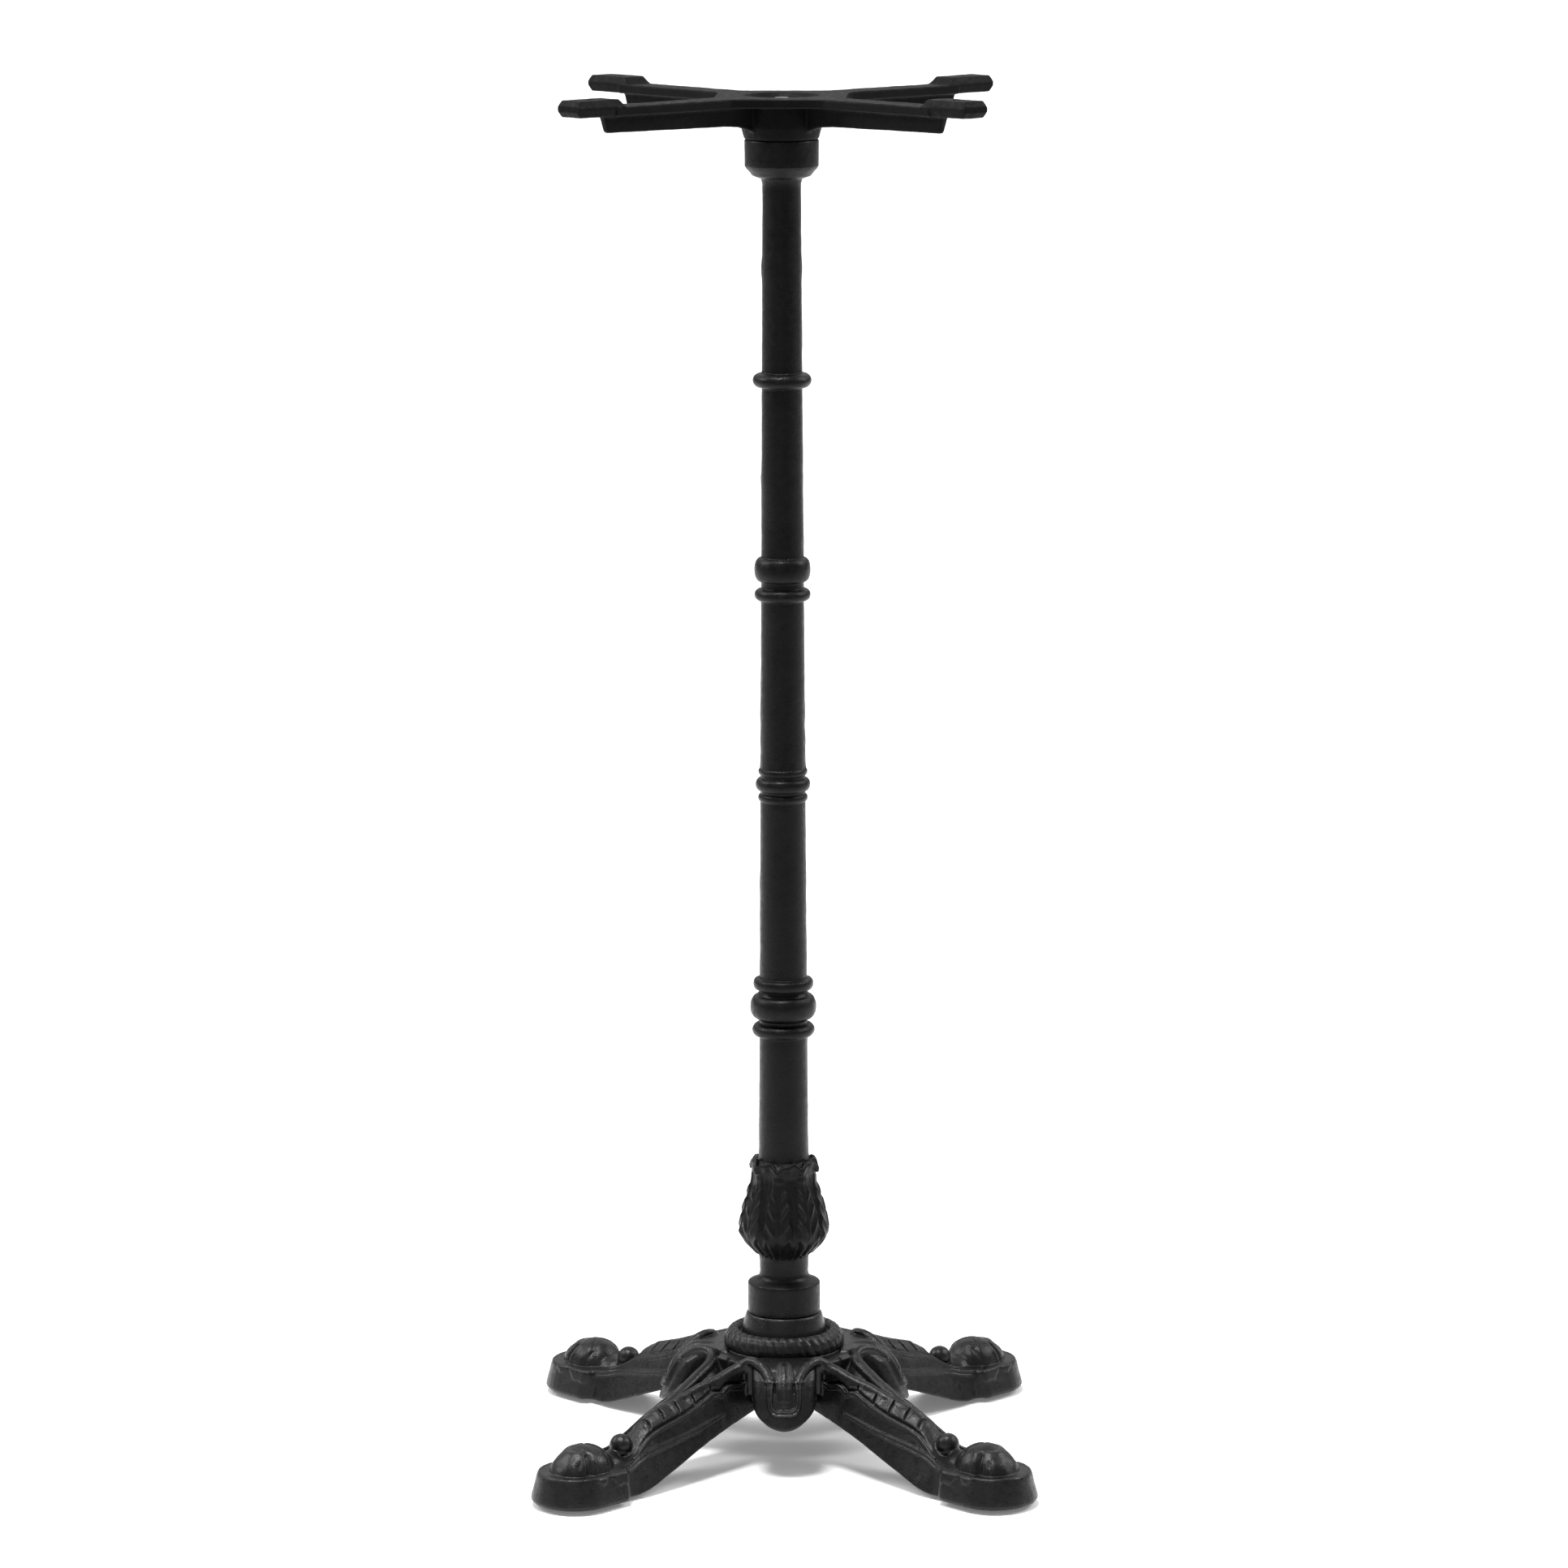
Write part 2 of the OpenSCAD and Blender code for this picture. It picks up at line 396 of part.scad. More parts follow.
module glide_pad_fl() glide_pad(0);
module glide_pad_fr() glide_pad(1);
module glide_pad_bl() glide_pad(2);
module glide_pad_br() glide_pad(3);
module glide_stem_fl() glide_stem(0);
module glide_stem_fr() glide_stem(1);
module glide_stem_bl() glide_stem(2);
module glide_stem_br() glide_stem(3);
module lock_nut_fl() lock_nut(0);
module lock_nut_fr() lock_nut(1);
module lock_nut_bl() lock_nut(2);
module lock_nut_br() lock_nut(3);

base_casting();
column_casting();
spider_casting();
tie_rod();
top_washer();
top_spring_washer();
top_nut();
bottom_washer();
bottom_spring_washer();
bottom_nut();
glide_pad_fl();
glide_pad_fr();
glide_pad_bl();
glide_pad_br();
glide_stem_fl();
glide_stem_fr();
glide_stem_bl();
glide_stem_br();
lock_nut_fl();
lock_nut_fr();
lock_nut_bl();
lock_nut_br();
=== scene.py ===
"""Cast-iron pedestal table base: the looks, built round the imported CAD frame.

Metres in the Blender scene; the helpers below work in millimetres and are scaled at the end.
"""
import math

import bmesh
import bpy
import numpy as np
from mathutils import Matrix, Vector


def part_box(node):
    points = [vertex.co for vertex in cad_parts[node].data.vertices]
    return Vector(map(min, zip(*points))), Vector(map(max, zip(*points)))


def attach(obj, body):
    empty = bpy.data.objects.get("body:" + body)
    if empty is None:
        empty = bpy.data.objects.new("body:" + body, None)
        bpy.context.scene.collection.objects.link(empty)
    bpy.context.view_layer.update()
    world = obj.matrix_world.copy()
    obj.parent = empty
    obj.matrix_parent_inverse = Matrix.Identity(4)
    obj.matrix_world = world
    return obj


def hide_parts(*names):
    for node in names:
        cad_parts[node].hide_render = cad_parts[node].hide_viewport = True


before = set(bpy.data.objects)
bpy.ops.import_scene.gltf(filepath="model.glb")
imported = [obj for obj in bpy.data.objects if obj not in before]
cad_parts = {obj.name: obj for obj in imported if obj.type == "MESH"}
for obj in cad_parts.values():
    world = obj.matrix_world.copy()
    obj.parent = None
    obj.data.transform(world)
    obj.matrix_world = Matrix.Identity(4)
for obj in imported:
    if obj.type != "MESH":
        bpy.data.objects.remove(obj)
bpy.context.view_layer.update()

MM = 0.001
H_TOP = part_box("spider_casting")[1][2] * 1000          # height of the pad faces, mm
SEAT = 110.0
COL_TOP = H_TOP - 39.7
FOOT_R = 226.0
LEG_ANGLES = [math.radians(a) for a in (225, 315, 135, 45)]
TWIST = math.radians(-2.8)
f32 = np.float32


# ------------------------------------------------------------------ scalar fields
def smin(a, b, k):
    h = np.maximum(k - np.abs(a - b), 0) / k
    return np.minimum(a, b) - h * h * k * 0.25


def smax(a, b, k):
    return -smin(-a, -b, k)


def poly_sd(px, py, pts):
    """Signed distance to a closed polygon, negative inside."""
    pts = np.asarray(pts, float)
    px, py = np.broadcast_arrays(np.asarray(px, float), np.asarray(py, float))
    d = np.full(px.shape, 1e12)
    inside = np.zeros(px.shape, bool)
    n = len(pts)
    for i in range(n):
        ax, ay = pts[i]
        bx, by = pts[(i + 1) % n]
        ex, ey = bx - ax, by - ay
        ll = ex * ex + ey * ey
        if ll < 1e-12:
            continue
        t = np.clip(((px - ax) * ex + (py - ay) * ey) / ll, 0, 1)
        d = np.minimum(d, (px - ax - t * ex) ** 2 + (py - ay - t * ey) ** 2)
        if ay != by:
            inside ^= ((ay > py) != (by > py)) & (px < (bx - ax) * (py - ay) / (by - ay) + ax)
    d = np.sqrt(d)
    return np.where(inside, -d, d).astype(f32)


def table_sd(u, z, pts, lo, hi, du=0.25):
    """Field of an outline drawn in (u, z), for a plan coordinate u(x, y)."""
    us = np.arange(lo, hi + du, du)
    tab = poly_sd(us[:, None], z[None, :], pts)
    f = np.clip((u - lo) / du, 0, len(us) - 1.001)
    i = f.astype(np.int32)
    w = (f - i).astype(f32)[..., None]
    return tab[i] * (1 - w) + tab[i + 1] * w


def curve(pts, smooth=0.0, lo=-20.0, hi=300.0):
    """y(x) through points, softened by a Gaussian of the given width in mm."""
    px = np.array([p[0] for p in pts], float)
    py = np.array([p[1] for p in pts], float)
    xs = np.arange(lo, hi, 0.25)
    ys = np.interp(xs, px, py)
    if smooth > 0:
        k = int(smooth * 4 / 0.25) + 1
        w = np.exp(-0.5 * (np.arange(-k, k + 1) * 0.25 / smooth) ** 2)
        w /= w.sum()
        ys = np.convolve(np.pad(ys, k, mode="edge"), w, mode="valid")
    return lambda x: np.interp(x, xs, ys)


def slope_cos(fn, x):
    s = (fn(x + 0.5) - fn(x - 0.5))
    return (1 / np.sqrt(1 + s * s)).astype(f32)


def tube(X, Y, Z, pts, radii):
    """Field of a round tube along a polyline, radius varying."""
    out = None
    for (a, b, ra, rb) in zip(pts[:-1], pts[1:], radii[:-1], radii[1:]):
        a, b = np.array(a, float), np.array(b, float)
        e = b - a
        ll = float(e @ e)
        t = np.clip(((X - a[0]) * e[0] + (Y - a[1]) * e[1] + (Z - a[2]) * e[2]) / ll, 0, 1)
        d = np.sqrt((X - a[0] - t * e[0]) ** 2 + (Y - a[1] - t * e[1]) ** 2 + (Z - a[2] - t * e[2]) ** 2) - (ra + (rb - ra) * t)
        out = d if out is None else np.minimum(out, d)
    return out


def surface_nets(F, x, y, z):
    """Quads on the zero level of a field sampled on a regular grid."""
    S = F < 0
    nx, ny, nz = F.shape
    c = np.zeros((nx - 1, ny - 1, nz - 1), np.uint8)
    for i in (0, 1):
        for j in (0, 1):
            for k in (0, 1):
                c += S[i:nx - 1 + i, j:ny - 1 + j, k:nz - 1 + k]
    cells = np.argwhere((c > 0) & (c < 8))
    idx = np.full(c.shape, -1, np.int32)
    idx[cells[:, 0], cells[:, 1], cells[:, 2]] = np.arange(len(cells))
    acc = np.zeros((len(cells), 3))
    cnt = np.zeros(len(cells))
    corner = {}
    for o in [(i, j, k) for i in (0, 1) for j in (0, 1) for k in (0, 1)]:
        corner[o] = F[cells[:, 0] + o[0], cells[:, 1] + o[1], cells[:, 2] + o[2]].astype(float)
    for a in corner:
        for ax in range(3):
            if a[ax] == 1:
                continue
            b = tuple(a[q] + (1 if q == ax else 0) for q in range(3))
            fa, fb = corner[a], corner[b]
            m = (fa < 0) != (fb < 0)
            t = fa[m] / (fa[m] - fb[m])
            p = np.tile(np.array(a, float), (m.sum(), 1))
            p[:, ax] += t
            acc[m] += p
            cnt[m] += 1
    P = cells + acc / cnt[:, None]
    V = np.column_stack([x[0] + P[:, 0] * (x[1] - x[0]), y[0] + P[:, 1] * (y[1] - y[0]), z[0] + P[:, 2] * (z[1] - z[0])])
    quads = []
    for ax in range(3):
        sl0 = [slice(None)] * 3
        sl1 = [slice(None)] * 3
        sl0[ax], sl1[ax] = slice(0, -1), slice(1, None)
        A, B = S[tuple(sl0)], S[tuple(sl1)]
        e = np.argwhere(A != B)
        o1, o2 = [q for q in range(3) if q != ax]
        ok = (e[:, o1] > 0) & (e[:, o1] < F.shape[o1] - 1) & (e[:, o2] > 0) & (e[:, o2] < F.shape[o2] - 1)
        e = e[ok]
        inside = A[e[:, 0], e[:, 1], e[:, 2]]

        def at(d1, d2):
            q = e.copy()
            q[:, o1] += d1
            q[:, o2] += d2
            return idx[q[:, 0], q[:, 1], q[:, 2]]
        q = np.column_stack([at(-1, -1), at(0, -1), at(0, 0), at(-1, 0)])
        flip = inside if ax != 1 else ~inside
        q[~flip] = q[~flip][:, ::-1]
        quads.append(q)
    return V, np.concatenate(quads)


def relax(V, Q, F, x, y, z, rounds=3, keep_y0=None):
    """Evens the net out along the surface, then pulls it back onto the zero level."""
    h = x[1] - x[0]
    e = np.concatenate([Q[:, [0, 1]], Q[:, [1, 2]], Q[:, [2, 3]], Q[:, [3, 0]]])
    n = len(V)
    deg = np.bincount(e.ravel(), minlength=n).astype(float)
    o = np.array([x[0], y[0], z[0]])

    def sample(P):
        g = (P - o) / h
        g = np.clip(g, 0, np.array(F.shape) - 1.001)
        i = g.astype(int)
        w = g - i
        r = 0
        for a in (0, 1):
            for b in (0, 1):
                for c in (0, 1):
                    r = r + F[i[:, 0] + a, i[:, 1] + b, i[:, 2] + c] * (w[:, 0] if a else 1 - w[:, 0]) * (w[:, 1] if b else 1 - w[:, 1]) * (w[:, 2] if c else 1 - w[:, 2])
        return r
    for _ in range(rounds):
        s = np.zeros_like(V)
        for c in range(3):
            s[:, c] = np.bincount(e[:, 0], V[e[:, 1], c], n) + np.bincount(e[:, 1], V[e[:, 0], c], n)
        V = V * 0.5 + 0.5 * s / deg[:, None]
        d = sample(V)
        g = np.column_stack([sample(V + v) - sample(V - v) for v in np.eye(3) * 0.5 * h]) / h
        g2 = np.maximum((g * g).sum(1), 0.15)
        step = np.clip(d / g2, -0.6 * h, 0.6 * h)
        V = V - g * step[:, None]
    return V


# ------------------------------------------------------------------ meshes
def new_mesh(name, V, faces, scale=MM):
    me = bpy.data.meshes.new(name)
    V = np.asarray(V, float) * scale
    faces = [np.asarray(faces)] if not isinstance(faces, list) else faces
    loops = np.concatenate([f.ravel() for f in faces]).astype(np.int32)
    sizes = np.concatenate([np.full(len(f), f.shape[1]) for f in faces]).astype(np.int32)
    me.vertices.add(len(V))
    me.vertices.foreach_set("co", V.astype(f32).ravel())
    me.loops.add(len(loops))
    me.loops.foreach_set("vertex_index", loops)
    me.polygons.add(len(sizes))
    starts = np.concatenate([[0], np.cumsum(sizes)[:-1]]).astype(np.int32)
    me.polygons.foreach_set("loop_start", starts)
    me.polygons.foreach_set("loop_total", sizes)
    me.update(calc_edges=True)
    me.validate(clean_customdata=False)
    me.polygons.foreach_set("use_smooth", np.ones(len(me.polygons), bool))
    return me


def new_object(name, me):
    o = bpy.data.objects.new(name, me)
    bpy.context.scene.collection.objects.link(o)
    return o


def coords(me):
    v = np.empty(len(me.vertices) * 3, f32)
    me.vertices.foreach_get("co", v)
    return v.reshape(-1, 3).astype(float)


def normals(me):
    v = np.empty(len(me.vertices) * 3, f32)
    me.vertices.foreach_get("normal", v)
    return v.reshape(-1, 3).astype(float)


def octant_to_whole(name, V, Q):
    """Cuts a half-leg net at y=0 and y=x, mirrors it, and turns it four times: a closed casting."""
    me = new_mesh(name, V, Q, 1.0)
    bm = bmesh.new()
    bm.from_mesh(me)
    for n in ((0, -1, 0), (-1, 1, 0)):
        geom = bm.verts[:] + bm.edges[:] + bm.faces[:]
        bmesh.ops.bisect_plane(bm, geom=geom, dist=1e-5, plane_co=(0, 0, 0), plane_no=Vector(n).normalized(), clear_outer=True)
    bmesh.ops.triangulate(bm, faces=[f for f in bm.faces if len(f.verts) > 4])
    bm.verts.ensure_lookup_table()
    for v in bm.verts:
        if abs(v.co.y) < 2e-3:
            v.co.y = 0
        elif abs(v.co.x - v.co.y) < 3e-3:
            m = (v.co.x + v.co.y) / 2
            v.co.x = v.co.y = m
    P = np.array([v.co[:] for v in bm.verts])
    tri = [[v.index for v in f.verts] for f in bm.faces]
    t3 = np.array([f for f in tri if len(f) == 3], int).reshape(-1, 3)
    t4 = np.array([f for f in tri if len(f) == 4], int).reshape(-1, 4)
    bm.free()
    bpy.data.meshes.remove(me)
    VV, F3, F4, off = [], [], [], 0
    for a in LEG_ANGLES:
        c, s = math.cos(a), math.sin(a)
        for m in (1, -1):
            W = P * [1, m, 1]
            VV.append(np.column_stack([W[:, 0] * c - W[:, 1] * s, W[:, 0] * s + W[:, 1] * c, W[:, 2]]))
            F3.append((t3 if m > 0 else t3[:, ::-1]) + off)
            F4.append((t4 if m > 0 else t4[:, ::-1]) + off)
            off += len(P)
    VV, F3, F4 = np.concatenate(VV), np.concatenate(F3), np.concatenate(F4)
    key = np.round(VV / 2e-3).astype(np.int64)
    _, first, inv = np.unique(key, axis=0, return_index=True, return_inverse=True)
    inv = inv.ravel()
    VV, F3, F4 = VV[first], inv[F3], inv[F4]
    F3 = F3[(F3[:, 0] != F3[:, 1]) & (F3[:, 1] != F3[:, 2]) & (F3[:, 2] != F3[:, 0])]
    same = (F4 == np.roll(F4, -1, axis=1))
    bad = same.any(1)
    extra = []
    for q in F4[bad]:
        u = [q[i] for i in range(4) if q[i] != q[(i + 1) % 4]]
        if len(set(u)) == 3:
            extra.append(u)
    F4 = F4[~bad]
    if extra:
        F3 = np.concatenate([F3, np.array(extra, int)])
    return VV, [F3, F4]


def thin(o, ratio):
    """Collapses flat areas of a dense net."""
    m = o.modifiers.new("thin", "DECIMATE")
    m.ratio = ratio
    dg = bpy.context.evaluated_depsgraph_get()
    me = bpy.data.meshes.new_from_object(o.evaluated_get(dg))
    o.modifiers.clear()
    old = o.data
    o.data = me
    bpy.data.meshes.remove(old)
    me.polygons.foreach_set("use_smooth", np.ones(len(me.polygons), bool))


def ripple(P, waves, seed):
    """Smooth even noise, about -1 to 1, from a few plane waves; P in mm."""
    rng = np.random.RandomState(seed)
    out = np.zeros(len(P))
    for length, amp in waves:
        for _ in range(5):
            d = rng.normal(size=3)
            d /= np.linalg.norm(d)
            ph = rng.uniform(0, 2 * math.pi)
            out += amp * 0.45 * np.sin(P @ d * (2 * math.pi / length) + ph)
    return out


def as_cast(o, waves, seed, clip=None):
    """Moves the skin along its normals by a small uneven amount, as sand moulding leaves it."""
    me = o.data
    P, N = coords(me), normals(me)
    d = ripple(P * 1000, waves, seed)
    if clip is not None:
        d *= clip(P * 1000)
    P += N * d[:, None] * MM
    me.vertices.foreach_set("co", P.astype(f32).ravel())
    me.update()


def edge_layer(o, rounds=3, gain=1.0, name="wear"):
    """A 0..1 attribute: 1 on raised edges, 0 in corners, 0.5 on flats, from the mesh's own curvature."""
    me = o.data
    P, N = coords(me), normals(me)
    e = np.empty(len(me.edges) * 2, np.int32)
    me.edges.foreach_get("vertices", e)
    e = e.reshape(-1, 2)
    n = len(P)
    deg = np.maximum(np.bincount(e.ravel(), minlength=n), 1)
    L = np.linalg.norm(P[e[:, 0]] - P[e[:, 1]], axis=1)
    scale = np.maximum((np.bincount(e[:, 0], L, n) + np.bincount(e[:, 1], L, n)) / deg, 1e-6)

    def avg(q):
        return (np.bincount(e[:, 0], q[e[:, 1]], n) + np.bincount(e[:, 1], q[e[:, 0]], n)) / deg
    m = np.column_stack([avg(P[:, c]) for c in range(3)])
    k = -((m - P) * N).sum(1) / (scale * scale)          # 1/m, positive when convex
    for _ in range(rounds):
        k = 0.4 * k + 0.6 * avg(k)
    v = 0.5 + 0.5 * np.tanh(k / 550.0 * gain)
    a = me.attributes.new(name, "FLOAT", "POINT")
    a.data.foreach_set("value", v.astype(f32))


# ------------------------------------------------------------------ camera, stage, light
def make_camera():
    cam = bpy.data.cameras.new("camera")
    o = bpy.data.objects.new("camera", cam)
    bpy.context.scene.collection.objects.link(o)
    cam.sensor_width = 36.0
    cam.lens = 36.0 * 7716.9 / 1932.0
    phi, psi, rho = 0.17922, math.radians(0.01), -0.00205
    fwd = Vector((math.sin(psi) * math.cos(phi), math.cos(psi) * math.cos(phi), -math.sin(phi)))
    right = Vector((math.cos(psi), -math.sin(psi), 0))
    up = right.cross(fwd)
    r = right * math.cos(rho) + up * math.sin(rho)
    u = up * math.cos(rho) - right * math.sin(rho)
    m = Matrix((( r.x, u.x, -fwd.x, 0), (r.y, u.y, -fwd.y, -4.78144), (r.z, u.z, -fwd.z, 1.39742), (0, 0, 0, 1)))
    o.matrix_world = m
    cam.clip_start, cam.clip_end = 0.1, 200
    bpy.context.scene.camera = o
    return o


def lamp(name, loc, target, size, power, color=(1, 1, 1), size_y=None):
    d = bpy.data.lights.new(name, "AREA")
    d.energy, d.color, d.size = power, color, size
    if size_y:
        d.shape, d.size_y = "RECTANGLE", size_y
    o = bpy.data.objects.new(name, d)
    bpy.context.scene.collection.objects.link(o)
    o.location = loc
    o.rotation_mode = "QUATERNION"
    o.rotation_quaternion = (Vector(target) - Vector(loc)).to_track_quat("-Z", "Y")
    return o


def node(nt, kind, at=(0, 0), **kw):
    n = nt.nodes.new(kind)
    n.location = at
    for k, v in kw.items():
        if k.startswith("in_"):
            n.inputs[k[3:].replace("_", " ")].default_value = v
        else:
            setattr(n, k, v)
    return n


def make_stage():
    me = bpy.data.meshes.new("floor")
    bm = bmesh.new()
    bmesh.ops.create_grid(bm, x_segments=8, y_segments=8, size=40.0)
    for co, no in (((0, -7, 0), (0, -1, 0)), ((5, 0, 0), (1, 0, 0)), ((-5, 0, 0), (-1, 0, 0)), ((0, 32, 0), (0, 1, 0))):
        bmesh.ops.bisect_plane(bm, geom=bm.verts[:] + bm.edges[:] + bm.faces[:], plane_co=co, plane_no=no, clear_outer=True)
    bm.to_mesh(me)
    bm.free()
    o = new_object("floor", me)
    mat = bpy.data.materials.new("floor_white")
    mat.use_nodes = True
    nt = mat.node_tree
    b = nt.nodes["Principled BSDF"]
    b.inputs["Base Color"].default_value = (0.93, 0.93, 0.93, 1)
    b.inputs["Roughness"].default_value = 0.75
    b.inputs["Specular IOR Level"].default_value = 0.2
    tc = node(nt, "ShaderNodeTexCoord", (-900, 0))
    ln = node(nt, "ShaderNodeVectorMath", (-700, 0), operation="LENGTH")
    nt.links.new(tc.outputs["Object"], ln.inputs[0])
    # Painted light: the floor glows through its emission, faintly next to the base and more strongly further away from
    # it.
    glow = ramp(nt, math_node(nt, "MULTIPLY", ln.outputs["Value"], 0.125), [(0.04, (0.15,) * 3), (0.30, (0.50,) * 3), (0.9, (0.80,) * 3)], (-450, 0))
    fl = node(nt, "ShaderNodeSeparateXYZ", (-700, 250))
    nt.links.new(tc.outputs["Object"], fl.inputs[0])
    # Painted shade: from about 0.6 m in front of the base towards the camera, the floor colour darkens and its glow
    # fades out, so the casting's front faces reflect dark.
    t = math_node(nt, "MULTIPLY", math_node(nt, "ADD", fl.outputs["Y"], 2.0), 0.72, (-450, 300), True)
    front_painted_shade = ramp(nt, t, [(0.0, (0.34,) * 3), (1.0, (0.93,) * 3)], (-250, 300))
    nt.links.new(front_painted_shade.outputs["Color"], b.inputs["Base Color"])
    b.inputs["Emission Color"].default_value = (1, 1, 1, 1)
    nt.links.new(math_node(nt, "MULTIPLY", glow.outputs["Color"], t), b.inputs["Emission Strength"])
    me.materials.append(mat)
    w = bpy.data.worlds.new("studio")
    bpy.context.scene.world = w
    w.use_nodes = True
    wn = w.node_tree
    bg = wn.nodes["Background"]
    tc = node(wn, "ShaderNodeTexCoord", (-900, 0))
    sep = node(wn, "ShaderNodeSeparateXYZ", (-700, 0))
    wn.links.new(tc.outputs["Generated"], sep.inputs[0])
    along = ramp(wn, math_node(wn, "MULTIPLY", math_node(wn, "ADD", sep.outputs["Y"], 1.0), 0.5), [(0.0, (0.05,) * 3), (0.44, (0.08,) * 3), (0.60, (0.55,) * 3), (0.74, (1.0,) * 3)], (-450, 0))
    over = ramp(wn, math_node(wn, "MULTIPLY", math_node(wn, "ADD", sep.outputs["Z"], 1.0), 0.5), [(0.55, (0.30,) * 3), (0.95, (0.46,) * 3)], (-450, -250))
    high = ramp(wn, math_node(wn, "MULTIPLY", math_node(wn, "ADD", sep.outputs["Z"], 1.0), 0.5), [(0.53, (0.10,) * 3), (0.58, (0.32,) * 3), (0.68, (1.0,) * 3)], (-450, -450))
    both = math_node(wn, "MAXIMUM", math_node(wn, "MULTIPLY", along.outputs["Color"], high.outputs["Color"]), over.outputs["Color"])
    wn.links.new(both, bg.inputs["Color"])
    bg.inputs["Strength"].default_value = 1.05
    lamp("key_top", (-0.5, -0.7, 3.4), (0, 0, 0.4), 0.9, 116)
    lamp("left_box", (-2.5, 0.35, 2.3), (0, 0, 0.3), 0.6, 50, size_y=1.4)
    lamp("right_box", (2.5, 0.45, 2.3), (0, 0, 0.3), 0.6, 46, size_y=1.4)
    lamp("front_strip", (-0.9, -4.0, 2.1), (0, 0, 0.3), 0.5, 9, size_y=1.4)
    return o


# ------------------------------------------------------------------ materials
def ramp(nt, src, stops, at=(0, 0)):
    r = node(nt, "ShaderNodeValToRGB", at)
    cr = r.color_ramp
    while len(cr.elements) < len(stops):
        cr.elements.new(0.5)
    for e, (p, c) in zip(cr.elements, stops):
        e.position = p
        e.color = c if len(c) == 4 else (*c, 1)
    nt.links.new(src, r.inputs["Fac"])
    return r


def math_node(nt, op, a, b, at=(0, 0), clamp=False):
    m = node(nt, "ShaderNodeMath", at, operation=op, use_clamp=clamp)
    for i, v in enumerate((a, b)):
        if v is None:
            continue
        if isinstance(v, (int, float)):
            m.inputs[i].default_value = v
        else:
            nt.links.new(v, m.inputs[i])
    return m.outputs[0]


def noise(nt, co, scale, detail=2.0, rough=0.5, at=(0, 0), dist=0.0):
    n = node(nt, "ShaderNodeTexNoise", at)
    n.inputs["Scale"].default_value = scale
    n.inputs["Detail"].default_value = detail
    n.inputs["Roughness"].default_value = rough
    n.inputs["Distortion"].default_value = dist
    nt.links.new(co, n.inputs["Vector"])
    return n.outputs["Fac"]


